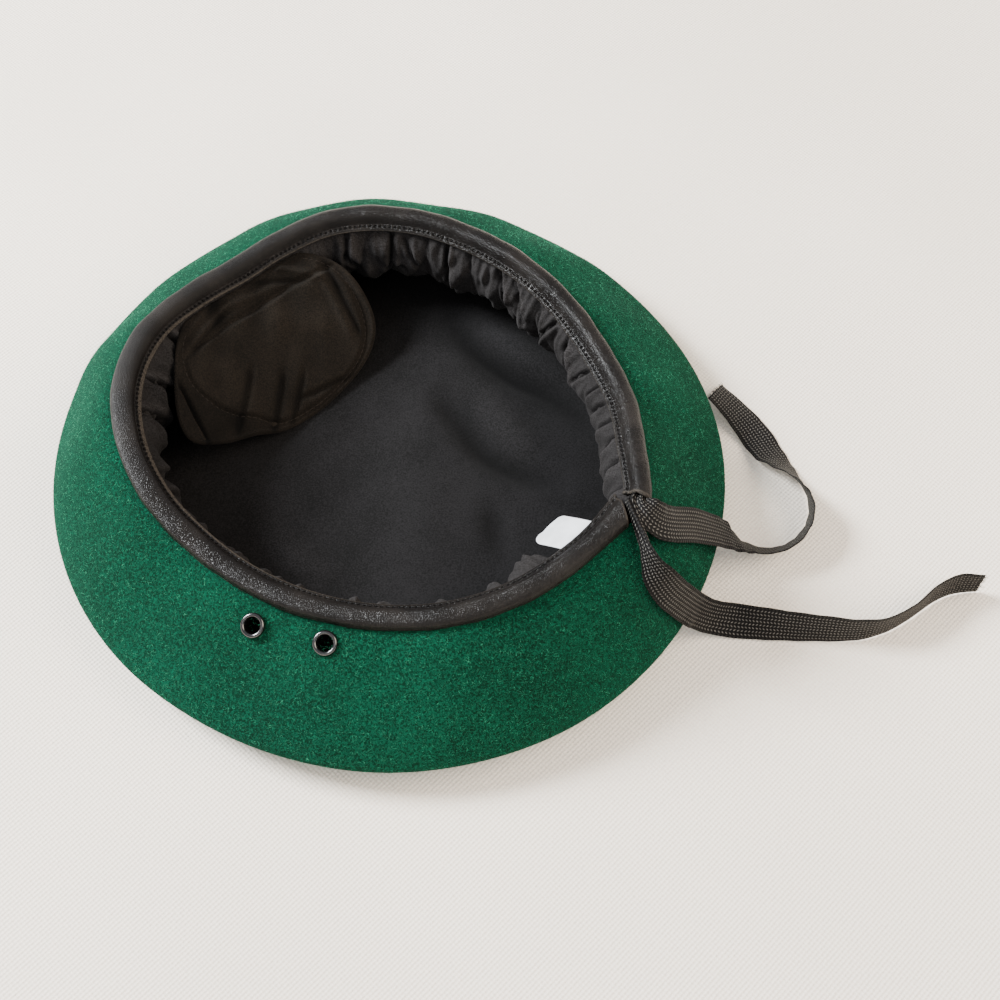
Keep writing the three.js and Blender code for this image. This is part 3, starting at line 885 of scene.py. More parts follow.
@dataclass(frozen=True)
class Form:
    """Sizes that the pieces share, and the lines that they give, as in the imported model."""

    crown_radius: float = 136.0
    felt: float = 2.5
    crown_roll: float = 25.0
    rim_height: float = 13.0
    flange_swell: float = 4.0
    flange_lead: float = 12.0
    band_radius: float = 98.0
    band_height: float = 46.5
    band_slope: float = math.radians(15)
    hem: float = 6.5
    leather: float = 1.2
    binding_width: float = 8.8
    binding_rise: float = 3.9
    lip_width: float = 2.8
    lip_slope: float = math.radians(33)
    split_angle: float = 333.0
    lining: float = 0.9
    gap: float = 0.35

    def outline(self, angle: Array) -> tuple[Array, Array, Array]:
        """Rim radius, and radius and height of the line where felt meets leather, at angles.

        Args:
            angle: Angles in degrees.

        Returns:
            Rim radius, band radius and band height for each angle.
        """
        rows = np.array(OUTLINE)
        return (
            self.crown_radius * round_table(rows, 1, angle),
            self.band_radius * round_table(rows, 2, angle),
            self.band_height * round_table(rows, 3, angle),
        )

    def crown_path(self, angle: Array, flats: int, rolls: int, most: float = 0.0) -> Array:
        """Underside of the crown: straight from the middle, then part of a quarter ellipse.

        Args:
            angle: Angles in degrees.
            flats: Points on the straight part.
            rolls: Points on the ellipse.
            most: Turn at which the ellipse ends, in radians, with 0 at the rim.

        Returns:
            Radius and height for each angle and point.
        """
        rim, _, _ = self.outline(angle)
        start = (rim - self.crown_roll)[:, None]
        share = np.linspace(0, 1, flats, endpoint=False)[None, :]
        straight = np.stack([start * share, np.zeros_like(start * share)], axis=-1)
        turn = np.linspace(-math.pi / 2, most, rolls)[None, :]
        up = self.rim_height * (1 + np.sin(turn)) + 0 * start
        rolled = np.stack([start + self.crown_roll * np.cos(turn), up], axis=-1)
        return np.concatenate([straight, rolled], axis=1)

    def flange(self, angle: Array, share: Array) -> Array:
        """Outside of the flange from the rim to the leather: one Bezier curve for each angle.

        Args:
            angle: Angles in degrees.
            share: Places from the rim, at 0, to the leather, at 1.

        Returns:
            Radius and height for each angle and place.
        """
        rim, band, height = self.outline(angle)
        low = np.full_like(rim, self.rim_height)
        c, s = math.cos(self.band_slope), math.sin(self.band_slope)
        return bezier(
            np.stack([rim, low], -1),
            np.stack([rim, low + self.flange_swell], -1),
            np.stack([band + self.flange_lead * c, height - self.flange_lead * s], -1),
            np.stack([band, height], -1),
            share,
        )

    def groove(self, angle: Array) -> Array:
        """Radius and height of the stitch line, at the foot of the roll."""
        _, band, height = self.outline(angle)
        return np.stack([band - self.binding_width, height + self.lift], -1)

    @property
    def lift(self) -> float:
        """Height of the roll's two edges over the line where felt meets leather."""
        return self.gap + 0.75 * self.leather

    def behind_lip(self, angle: Array, along: Array | float, off: Array | float) -> Array:
        """Place a distance back along the lip from its edge, and a distance off its back.

        Args:
            angle: Angles in degrees.
            along: Distance back from the lip's edge.
            off: Distance off the lip's back.

        Returns:
            Radius and height for each angle.
        """
        c, s = math.cos(self.lip_slope), math.sin(self.lip_slope)
        back = self.leather + off
        along = along - self.lip_width
        shift = np.stack(np.broadcast_arrays(along * c + back * s, along * s - back * c), -1)
        return self.groove(angle) + shift

    def on_flange(self, angle: float, share: float) -> tuple[Array, Array]:
        """Place on the outside of the flange, and the unit normal there from two small steps.

        Args:
            angle: Angle in degrees.
            share: Place from the rim, at 0, to the leather, at 1.

        Returns:
            The place and its outward normal.
        """
        step = 0.5
        here, beyond, above = (
            stand(self.flange(np.array([at]), np.array([up])), np.array([at]))[0, 0]
            for at, up in ((angle, share), (angle + step, share), (angle, share + step / 100))
        )
        return here, unit(np.cross(beyond - here, above - here))


# Plan and height all round: angle, then rim, band and height as shares of crown_radius, band_radius
# and band_height.
OUTLINE = (
    (0, 0.997, 1.002, 0.985), (15, 0.985, 0.959, 0.931), (32, 0.972, 0.944, 0.942),
    (50, 0.97, 0.955, 0.972), (68, 0.982, 0.982, 0.993), (86, 1.004, 1.024, 1.01),
    (104, 1.016, 1.044, 1.009), (119, 1.015, 1.022, 0.982), (132, 1.008, 1.006, 0.972),
    (146, 1.003, 1.026, 1.028), (160, 1, 1.057, 1.096), (175, 0.995, 1.061, 1.115),
    (190, 0.991, 1.038, 1.084), (206, 0.987, 0.998, 1.01), (222, 0.984, 0.955, 0.93),
    (238, 0.98, 0.942, 0.903), (254, 0.988, 0.949, 0.905), (270, 1.002, 0.976, 0.928),
    (286, 1.012, 1.02, 0.985), (302, 1.021, 1.055, 1.034), (316, 1.02, 1.08, 1.09),
    (326, 1.017, 1.112, 1.135), (333, 1.013, 1.141, 1.148), (339, 1.009, 1.098, 1.13),
    (347, 1.005, 1.046, 1.08),
)

# Creases of the gathered lining: angle, depth of the puff from this crease to the next as a share
# of the lining's gather depth, and how far down the side it runs.
GATHERS = (
    (2, 0.7, 0.75), (12, 1.2, 0.9), (21, 0.8, 0.8), (32, 1.1, 0.95), (41, 1.3, 1),
    (49, 0.9, 0.85), (57, 1.2, 0.9), (67, 1.5, 1), (80, 1.1, 0.9), (88, 1.4, 1), (96, 1.2, 0.9),
    (104, 0.3, 0.6), (124, 0.2, 0.6), (144, 0.4, 0.6), (160, 0.9, 0.8), (169, 1.2, 0.9),
    (178, 1, 0.9), (189, 0.9, 0.85), (198, 1.1, 0.8), (209, 0.8, 0.8), (221, 0.7, 0.7),
    (234, 0.7, 0.7), (246, 0.8, 0.8), (258, 1, 0.8), (268, 0.9, 0.8), (278, 1.1, 0.9),
    (289, 0.8, 0.8), (300, 0.6, 0.7), (313, 0.3, 0.6), (330, 1, 0.8), (338, 1.2, 0.9),
    (349, 0.9, 0.8),
)


# Tucks of the gathered lining: angle and share of the way down at both ends, depth and half width
# in millimetres.
TUCKS = (
    (101.5, 0.05, 102.5, 0.2, 2.6, 1.1), (102.5, 0.2, 98.5, 0.38, 2.4, 1.2),
    (89.5, 0.05, 90.5, 0.34, 3.0, 1.1), (90.5, 0.34, 86.5, 0.33, 2.4, 1.0),
    (86, 0.1, 83, 0.26, 1.8, 1.0), (80, 0.04, 79, 0.16, 1.2, 0.8),
    (74, 0.04, 73, 0.36, 3.2, 1.1), (67, 0.04, 66, 0.14, 1.2, 0.8),
    (57, 0.05, 53, 0.25, 3.2, 1.2), (53, 0.25, 47, 0.4, 3.0, 1.5),
    (47, 0.4, 41.5, 0.38, 2.6, 1.3), (51, 0.07, 44.5, 0.26, 2.4, 1.0),
    (41, 0.05, 38, 0.22, 1.4, 0.9), (32.5, 0.04, 37, 0.3, 1.8, 0.9),
    (25, 0.16, 20, 0.36, 5.0, 1.6), (27, 0.05, 25, 0.16, 1.6, 0.8),
    (14, 0.08, 17, 0.26, 2.0, 0.9), (8, 0.05, 9, 0.2, 1.4, 0.8), (2, 0.08, 4, 0.24, 1.8, 0.9),
    (356, 0.06, 357, 0.3, 1.6, 0.9), (350, 0.08, 346, 0.32, 2.4, 1.0),
    (343, 0.06, 340, 0.34, 2.4, 1.0), (336, 0.1, 333, 0.36, 2.4, 1.1),
    (158, 0.04, 156, 0.26, 2.6, 1.0), (173, 0.04, 168, 0.3, 3.0, 1.2),
    (168, 0.3, 160, 0.46, 2.8, 1.5), (182, 0.04, 176, 0.38, 3.0, 1.2),
    (198, 0.16, 190, 0.46, 2.2, 1.2), (205, 0.05, 203, 0.22, 1.4, 0.9),
    (214, 0.05, 211, 0.3, 1.5, 1.0),
)


@dataclass
class FeltShell:
    """Crown and flange of felt, bored for the eyelets, with the nap that stands off it."""

    form: Form
    columns: int = 640
    flats: int = 12
    rolls: int = 16
    flange_rows: int = 47
    inner_step: int = 5
    hem_steps: Triple = (0.35, 0.7, 1.0)
    hem_at_split: Triple = (0.12, 6.0, 4.0)
    rest_rows: float = 16.0
    sewn_rows: Pair = (60.0, 24.0)
    dents: float = 0.45
    pucker: float = 0.6
    pucker_width: float = 5.5
    bore: float = 3.45
    fibres: int = 42000
    fibre_rows: tuple[int, int] = (16, 74)
    fibre_length: float = 1.05
    fibre_vary: Pair = (-0.1, 0.4)
    fibre_lift: Pair = (0.35, 0.4)
    fibre_radius: float = 0.05
    fibre_root: float = 0.1
    fibre_floor: float = 0.1
    hollow: Triple = (0.0, 0.0, 20.0)

    def build(self, eyelets: list["VentEyelet"]) -> None:
        """Make the shell and its nap.

        Args:
            eyelets: Eyelets that the felt is bored for.
        """
        angle = np.arange(self.columns) * 360 / self.columns
        outer, inner = self.surfaces(angle, eyelets)
        both = np.concatenate([outer, inner[:, ::-1]], axis=1)
        shell = Skin.grid(both, ring=True, loop=False).build(
            "felt_body", Slot.FELT, FeltFinish().build("milled_wool"), weld=True
        )
        bored(shell, [eyelet.drill(self.bore) for eyelet in eyelets])
        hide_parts("felt_shell")
        self.nap(outer).build("felt_nap", Slot.FELT, FibreFinish().build("wool_fibre"))

    def surfaces(self, angle: Array, eyelets: list["VentEyelet"]) -> tuple[Array, Array]:
        """Outside and inside of the shell: the stood-up path, and that path moved in by the felt.

        The path is the crown's, the flange's and a straight hem that rises at the band's slope.
        Soft dents are ripples along the left normal, faded out where the felt rests and where it is
        sewn, and each eyelet pulls in a hollow, a bell of the distance.

        Args:
            angle: Angles of the columns, in degrees.
            eyelets: Eyelets that pull the felt in.

        Returns:
            Grids of points outside and inside, the inside with fewer rows.
        """
        form = self.form
        _, band, height = form.outline(angle)
        c, s = math.cos(form.band_slope), math.sin(form.band_slope)
        off = np.abs(np.mod(angle - form.split_angle + 187, 360) - 180)[:, None]
        least, clear, ease = self.hem_at_split
        reach = np.array(self.hem_steps) * form.hem
        reach = reach * (least + (1 - least) * smooth((off - clear) / ease))
        hem = np.stack([band[:, None] - reach * c, height[:, None] + reach * s], -1)
        crown = form.crown_path(angle, self.flats, self.rolls)
        flange = form.flange(angle, np.linspace(0, 1, self.flange_rows + 1)[1:])
        path = np.concatenate([crown, flange, hem], axis=1)
        rows = path.shape[1]
        place = np.arange(rows)[None, :] - self.flats - self.rolls
        fade = smooth(place / self.rest_rows)
        fade = fade * smooth((self.sewn_rows[0] - place) / self.sewn_rows[1])
        turn = np.radians(angle)[:, None]
        wave = ripples(turn, place / 50, (3, 17), 5.0, 24, 7) * self.dents * fade
        outer = stand(beside(path, wave), angle)
        normal = stand(normals2(path), angle)
        for eyelet in eyelets:
            middle, _ = form.on_flange(eyelet.angle, eyelet.share)
            far = np.linalg.norm(outer - middle, axis=-1, keepdims=True)
            outer = outer + normal * self.pucker * hump(far, self.pucker_width)
        inner = stand(beside(path, wave + form.felt), angle)
        keep = np.unique(np.r_[0 : rows : self.inner_step, rows - 1])
        return outer, inner[:, keep]

    def nap(self, outer: Array) -> Skin:
        """Needles on the outside above the table.

        Each starts at a random place of a random cell, chosen by area, and runs along the felt in a
        random direction with a little lift, away from a place in the hollow of the crown.

        Args:
            outer: Grid of points of the outside.

        Returns:
            The skin of all the fibres.
        """
        rng = np.random.default_rng(11)
        grid = outer[:, slice(*self.fibre_rows)]
        a, b = grid, np.roll(grid, -1, axis=0)
        du, dv = (b - a)[:, :-1], a[:, 1:] - a[:, :-1]
        size = np.linalg.norm(np.cross(du, dv), axis=-1).ravel()
        pick = rng.choice(len(size), self.fibres, p=size / size.sum())
        corner, du, dv = (part.reshape(-1, 3)[pick] for part in (a[:, :-1], du, dv))
        u, v = rng.random((self.fibres, 1)), rng.random((self.fibres, 1))
        root = corner + du * u + dv * v
        out = unit(np.cross(du, dv))
        out *= np.sign((out * (root - self.hollow)).sum(-1, keepdims=True))
        turn = rng.uniform(0, 2 * math.pi, (self.fibres, 1))
        flat = np.cos(turn) * unit(du) + np.sin(turn) * unit(np.cross(out, du))
        lift = np.abs(rng.normal(*self.fibre_lift, (self.fibres, 1)))
        length = self.fibre_length * rng.lognormal(*self.fibre_vary, (self.fibres, 1))
        tip = root + unit(flat + lift * out) * length
        root = root - self.fibre_root * out
        points, faces = spikes(root, tip, np.full(self.fibres, self.fibre_radius))
        points[:, 2] = np.maximum(points[:, 2], self.fibre_floor)
        return Skin(points, [faces])


@dataclass
class VentEyelet:
    """Rolled metal eyelet in the flange, turned about its own axis."""

    form: Form
    name: str
    angle: float
    share: float
    hole: float = 2.9
    rim: float = 4.7
    crown: float = 1.3
    wall: float = 0.5
    washer: float = 0.6
    washer_gap: float = 0.9
    roll_rise: float = 0.25
    roll_end: float = -0.35
    roll_points: int = 22
    drill_reach: float = 6.0
    drill_sides: int = 48
    steps: int = 72

    def frame(self) -> Matrix:
        """Turn and place that take +Z to the felt's outward normal.

        Returns:
            Matrix from the eyelet's own frame to the model's.
        """
        place, out = self.form.on_flange(self.angle, self.share)
        turn = Vector((0, 0, 1)).rotation_difference(Vector(out))
        return Matrix.Translation(Vector(place)) @ turn.to_matrix().to_4x4()

    def placed(self, points: Array) -> Array:
        """Points about +Z moved to the eyelet's place."""
        matrix = np.array(self.frame())
        return points @ matrix[:3, :3].T + matrix[:3, 3]

    def drill(self, radius: float) -> bpy.types.Object:
        """Cylinder that bores the felt, from one ring of points a length below to one above.

        Args:
            radius: Radius of the cylinder.

        Returns:
            The cylinder, for bored() to remove.
        """
        turn = np.linspace(0, 2 * math.pi, self.drill_sides, endpoint=False)[None, :]
        level = np.array([-self.drill_reach, self.drill_reach])[:, None]
        ring = np.broadcast_arrays(radius * np.cos(turn), radius * np.sin(turn), level)
        skin = Skin.grid(self.placed(np.stack(ring, -1)), ring=False, loop=True, cap=True)
        mesh = bpy.data.meshes.new("drill")
        faces = [tuple(corner) for face in skin.faces for corner in face.tolist()]
        mesh.from_pydata((skin.points * MM).tolist(), [], faces)
        tidy_mesh(mesh, False)
        drill = bpy.data.objects.new("drill", mesh)
        bpy.context.scene.collection.objects.link(drill)
        return drill

    def build(self, finish: bpy.types.Material) -> None:
        """Make the eyelet: half an ellipse from the hole's edge over to the rim, a barrel down the
        hole and a washer under the felt, all turned round the axis.

        Args:
            finish: Material of the eyelet.
        """
        back = -self.form.felt - self.washer_gap
        middle, half = (self.hole + self.rim) / 2, (self.rim - self.hole) / 2
        turn = np.linspace(math.pi, self.roll_end, self.roll_points)
        level = self.roll_rise + self.crown * np.sin(turn)
        roll = np.stack([middle + half * np.cos(turn), level], -1)
        barrel, foot = self.hole + self.wall, back - self.washer
        under = [[barrel, -0.1], [barrel, back]]
        under += [[self.rim, back], [self.rim, foot], [self.hole, foot]]
        profile = np.concatenate([[[self.hole, back - 0.3], [self.hole, -1.2]], roll, under])
        round_it = np.arange(self.steps) * 360 / self.steps
        points = stand(np.broadcast_to(profile, (self.steps, *profile.shape)), round_it)
        piece = Skin.grid(self.placed(points), ring=True, loop=True).build(
            f"{self.name}_enamelled", Slot.EYELET, finish
        )
        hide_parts(self.name)


@dataclass
class LeatherBinding:
    """Leather rolled over the edge, its stitched lip, and the stitches."""

    form: Form
    columns: int = 1100
    roll_points: int = 38
    lip_points: int = 14
    split_gap: float = 0.8
    split_mouth: float = 12.0
    tuck: float = 0.3
    notch: float = 0.32
    pitch: float = 2.3
    stitch: float = 1.2
    thread: float = 0.2
    turned_angle: float = 190.0
    turned_reach: float = 55.0
    turned_width: float = 1.5
    shoulder: float = 1.3
    box: float = 0.4
    squared: Bells = ((0.3, 205, 55),)
    dull: Bells = ((1.0, 155, 38), (-0.4, 48, 26), (-0.3, 224, 18))
    raw: float = 0.8
    # Bells by which the painted highlight on the roll's outer edge is weaker: height, angle and
    # reach.
    dyed: Bells = ((0.5, 275, 45),)
    seam_at: float = 0.9
    seam_reach: float = 0.5
    raw_width: float = 0.22
    lip_crown: float = 0.3
    crinkle: float = 0.035
    sway: float = 0.1

    def build(self) -> None:
        """Make the binding and its stitches."""
        leather = LeatherFinish(self.pitch, self.seam_at).build("dyed_leather")
        binding = self.skin().build("rolled_binding", Slot.LEATHER, leather)
        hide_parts("leather_binding")
        thread = ThreadFinish().build("waxed_thread")
        self.stitches().build("binding_stitches", Slot.LEATHER, thread)

    def span(self) -> tuple[float, float, float]:
        """First and last angle of the leather, and the slant of its last end, in degrees.

        Returns:
            The first angle, the last angle and the slant.
        """
        _, band, _ = self.form.outline(np.array([self.form.split_angle]))
        gap = math.degrees(self.split_gap / band[0]) / 2
        mouth = math.degrees(self.split_mouth / band[0])
        return self.form.split_angle - 360 + gap, self.form.split_angle - gap - mouth, mouth

    def profile(self, angle: Array) -> tuple[Array, Array]:
        """Outside of the leather at each angle.

        It is an ellipse from just under its outer edge to the groove, then the lip, a straight fall
        with a low crown. The ellipse's inner shoulder is eased by raising the sine to a power where
        the lip isn't turned up, and its other shoulders are boxed by a power under one.

        Args:
            angle: Angles in degrees.

        Returns:
            Radius and height of each point, and its length along the leather from the groove.
        """
        form = self.form
        _, band, height = form.outline(angle)
        half = form.binding_width / 2
        middle = (band - half)[:, None]
        base = (height + form.lift)[:, None]
        sweep = (math.pi + self.tuck) * np.linspace(1, 0, self.roll_points) ** 1.35
        turn = (math.pi - sweep)[None, :]
        turned = self.turned(angle)[:, None]
        eased = self.shoulder * (1 - turned) * smooth((turn - math.pi / 2) / (math.pi / 2))
        box = self.box + bells(angle, self.squared)[:, None]
        boxed = box * np.where(turn < math.pi / 2, 1.0, turned) * smooth(4 * np.sin(turn))
        rise = np.sign(np.sin(turn)) * np.abs(np.sin(turn)) ** (1 + eased - boxed)
        across = middle + half * np.cos(turn) + 0 * rise
        roll = np.stack([across, base + form.binding_rise * rise], -1)
        share = np.linspace(0, 1, self.lip_points + 1)[1:]
        groove = form.groove(angle)[:, None, :]
        fall = np.stack([-math.cos(form.lip_slope) * share, -math.sin(form.lip_slope) * share], -1)
        crown = np.stack([0 * share, self.lip_crown * np.sin(math.pi * share)], -1)
        path = np.concatenate([roll, groove + form.lip_width * fall + crown], axis=1)
        run = length_along(path)
        return path, run - run[:, self.roll_points - 1 : self.roll_points]

    def turned(self, angle: Array) -> Array:
        """Share by which the lip's raw edge turns up at each angle: a bell round the ring."""
        return hump(np.mod(angle, 360) - self.turned_angle, self.turned_reach)

    def skin(self) -> Skin:
        """The leather as a grid: the outside with its relief, then the inside, a thickness in.

        Puckers are ripples round the ring, strongest at the outer edge and at the stitch line; the
        stitch line is drawn in by a bell in depth, deeper at each stitch; the roll sways a little.

        Returns:
            The skin, with its marks for the finish.
        """
        form = self.form
        first, last, mouth = self.span()
        angle = np.linspace(first, last, self.columns)
        path, lie = self.profile(angle)
        turn = np.radians(angle)[:, None]
        step = np.radians(np.diff(angle)) * form.outline(angle)[1][1:]
        run = np.cumsum(np.r_[0, step])[:, None]
        sunk = hump(lie - self.seam_at, self.seam_reach)
        near = hump(np.abs(lie - self.seam_at) - 1.0, 1.0)
        pull = self.notch * sunk * (0.7 + 0.3 * np.cos(2 * math.pi * run / self.pitch))
        puckers = ripples(turn, lie / 3, (130, 330), 0.9, 40, 3) * self.crinkle
        outer_edge = hump(lie - lie[:, :1], 1.5)
        sway = ripples(turn, lie / 10, (9, 38), 1.0, 20, 5) * self.sway * smooth(-lie / 5)
        relief = -pull + puckers * (0.25 + near + 0.3 * outer_edge) + sway
        outside = beside(path, -relief)
        inside = beside(path, form.leather)[:, ::-1][:, ::4]
        section = np.concatenate([outside, inside], axis=1)
        band = form.outline(np.array([last]))[1][0]
        wide = form.binding_width + form.lip_width
        slant = mouth * np.clip((band - section[..., 0]) / wide, 0, 1)
        ease = smooth((angle - (last - 9)) / 9)[:, None]
        points = stand(section, angle[:, None] + slant * ease)
        skin = Skin.grid(points, ring=False, loop=True, cap=True)
        bare = self.raw_width + self.turned_width * self.turned(angle)[:, None]
        edge = smooth((lie - form.lip_width + bare) / 0.25)
        edge = np.concatenate([edge, np.zeros((len(angle), inside.shape[1]))], 1)
        edge[:, outside.shape[1]] = self.raw
        # Painted highlight: the roll's two outer edge rows take the raw mark, less at the front.
        edge[:, :2] = self.raw - bells(angle, self.dyed)[:, None]
        edge[:2] = np.maximum(edge[:2], self.raw)
        edge[-2:] = np.maximum(edge[-2:], 0.5)
        columns = section.shape[1]
        dull = bells(angle, self.dull)
        skin.marks = {
            "cut": edge,
            "dull": np.repeat(dull[:, None], columns, axis=1),
            "run": np.repeat(run, columns, axis=1),
            "lie": np.concatenate([lie, np.full((len(angle), columns - lie.shape[1]), -9.0)], 1),
        }
        return skin

    def stitches(self) -> Skin:
        """Stitches in the notch, one each pitch along the ring.

        Returns:
            The skin of all the stitches.
        """
        form = self.form
        first, last, _ = self.span()
        fine = np.linspace(first + 0.8, last - 0.8, 4000)
        c, s = math.cos(form.lip_slope), math.sin(form.lip_slope)
        proud = 0.7 * self.thread - 0.7 * self.notch + 0.15
        place = [[-self.seam_at * c - proud * s, -self.seam_at * s + proud * c]]
        foot = stand(form.groove(fine)[:, None, :] + place, fine)[:, 0]
        ends = (self.pitch / 2, self.pitch)
        return threads(foot, ends, self.pitch, self.stitch, self.thread, 0.12)


def threads(
    line: Array, ends: Pair, pitch: float, length: float, radius: float, arch: float
) -> Skin:
    """Short threads sewn along a line: rings along each, a half sine high, round at both ends.

    Args:
        line: Points of the line.
        ends: Length left free at its start and at its end.
        pitch: Length from one thread's start to the next.
        length: Length of a thread.
        radius: Radius of a thread.
        arch: Height of a thread's middle over its ends.

    Returns:
        The skin of all the threads.
    """
    run = length_along(line)
    starts = np.arange(ends[0], run[-1] - ends[1], pitch)
    a, b = (
        np.stack([np.interp(place, run, axis) for axis in line.T], -1)
        for place in (starts, starts + length)
    )
    share = np.array([0.0, 0.08, 0.3, 0.5, 0.7, 0.92, 1.0])
    thick = np.array([0.15, 0.75, 1.0, 1.0, 1.0, 0.75, 0.15]) * radius
    turn = np.linspace(0, 2 * math.pi, 6, endpoint=False)[:, None]
    along = unit(b - a)
    side = unit(np.cross(along, [[0.0, 0.0, 1.0]]))
    up = np.cross(side, along)
    middle = a[:, None] + (b - a)[:, None] * share[None, :, None]
    middle = middle + up[:, None] * (arch * np.sin(math.pi * share))[None, :, None]
    spread = (np.cos(turn) * side[:, None] + np.sin(turn) * up[:, None])[:, None]
    points = middle[:, :, None] + spread * thick[None, :, None, None]
    step = points.shape[1] * points.shape[2]
    offset = (np.arange(len(a)) * step)[:, None, None]
    quads = (offset + grid_quads(len(share), len(turn), False, True)[None]).reshape(-1, 4)
    ring = np.arange(len(turn))[None]
    caps = [offset[:, 0] + ring, offset[:, 0] + step - len(turn) + ring[:, ::-1]]
    return Skin(points.reshape(-1, 3), [quads, *caps])


@dataclass
class CrownLining:
    """Black cotton disc on the inside of the crown, with a few soft folds."""

    form: Form
    columns: int = 360
    seam_turn: float = -math.pi / 4
    cloth: float = 0.0513
    # Painted shadow under the back of the gathered lining: height, angle and reach of its bell, and
    # the radius from which it fades in.
    black: Bells = ((0.9, 102, 42),)
    gather_shadow_from: float = 55.0
    loose: float = 0.3
    spare: Pair = (0.8, 3.9)
    sewn_at: float = 122.0

    # Folds: height and half width, then the points of the line, in millimetres.
    FOLDS = (
        (-4.2, 6.0, (26, 70), (36, 56), (52, 42), (69, 32), (82, 19)),
        (3.0, 8.0, (39, 70), (57, 53), (74, 38)),
        (-3.8, 5.5, (20, 32), (29, 18), (40, 2), (51, -6), (68, -13)),
        (2.4, 8.0, (37, 36), (48, 17), (61, 3)),
        (-2.2, 5.0, (42, -24), (43, -33), (45, -44)),
        (2.0, 7.0, (-48, -30), (-36, -45), (-20, -56)),
    )

    def build(self) -> None:
        """Make the disc: the crown's path moved in by felt and gap, and above by the cloth too."""
        form = self.form
        angle = np.arange(self.columns) * 360 / self.columns
        path = form.crown_path(angle, 64, 14, self.seam_turn)
        top = stand(beside(path, form.felt + form.gap + form.lining), angle)
        x, y = top[..., 0], top[..., 1]
        # Fold mark of painted light and shade: paler on the folds' crests and darker in their
        # hollows, less the painted shadow under the gathered lining.
        fold = self.folds(x, y)
        black = smooth((np.hypot(x, y) - self.gather_shadow_from) / 40)
        mark = fold / 4 - black * bells(np.degrees(np.arctan2(y, x)), self.black)
        top[..., 2] += self.relief(x, y)
        low = stand(beside(path, form.felt + form.gap), angle)
        low[..., 2] += self.relief(low[..., 0], low[..., 1])
        keep = np.unique(np.r_[0 : path.shape[1] : 3, path.shape[1] - 1])
        both = np.concatenate([top, low[:, keep][:, ::-1]], axis=1)
        finish = CottonFinish(dye=(9, 9, 9), wear_and_shade=(26, 25, 26), thread=0.6, nap=0.2, sheen=0.04)
        skin = Skin.grid(both, ring=True, loop=False)
        skin.marks = {"fold": np.concatenate([mark, 0 * low[:, keep, 0]], axis=1)}
        disc = skin.build("crown_cotton", Slot.COTTON, finish.build("brushed_cotton"), weld=True)
        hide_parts("crown_lining")

    def relief(self, x: Array, y: Array) -> Array:
        """Height over the crown's path: folds, soft ripples and a spare height, never under 0.

        Args:
            x: X of the points.
            y: Y of the points.

        Returns:
            Height at each point.
        """
        radius, turn = np.hypot(x, y), np.arctan2(y, x)
        loose = ripples(turn, radius / 40, (2, 9), 3.0, 16, 21) * self.loose * smooth(radius / 60)
        spare = self.spare[0] + self.spare[1] * smooth((x + 20) / 40)
        total = np.maximum(self.folds(x, y) + loose + spare, 0.0)
        return total * smooth((self.sewn_at - radius) / 20)

    def folds(self, x: Array, y: Array) -> Array:
        """Height of the folds, each a bell of the distance to its line that fades to both ends.

        Args:
            x: X of the points.
            y: Y of the points.

        Returns:
            Height at each point.
        """
        total = 0.0 * x
        share = np.linspace(0, 1, 40)
        for height, wide, *points in self.FOLDS:
            line = catmull_rom(np.array([(*point, 0.0) for point in points]), share)
            far = np.hypot(x[..., None] - line[:, 0], y[..., None] - line[:, 1])
            middle = np.sin(math.pi * (0.06 + 0.88 * share[far.argmin(axis=-1)])) ** 0.7
            total += height * middle * hump(far.min(-1), wide)
        return total


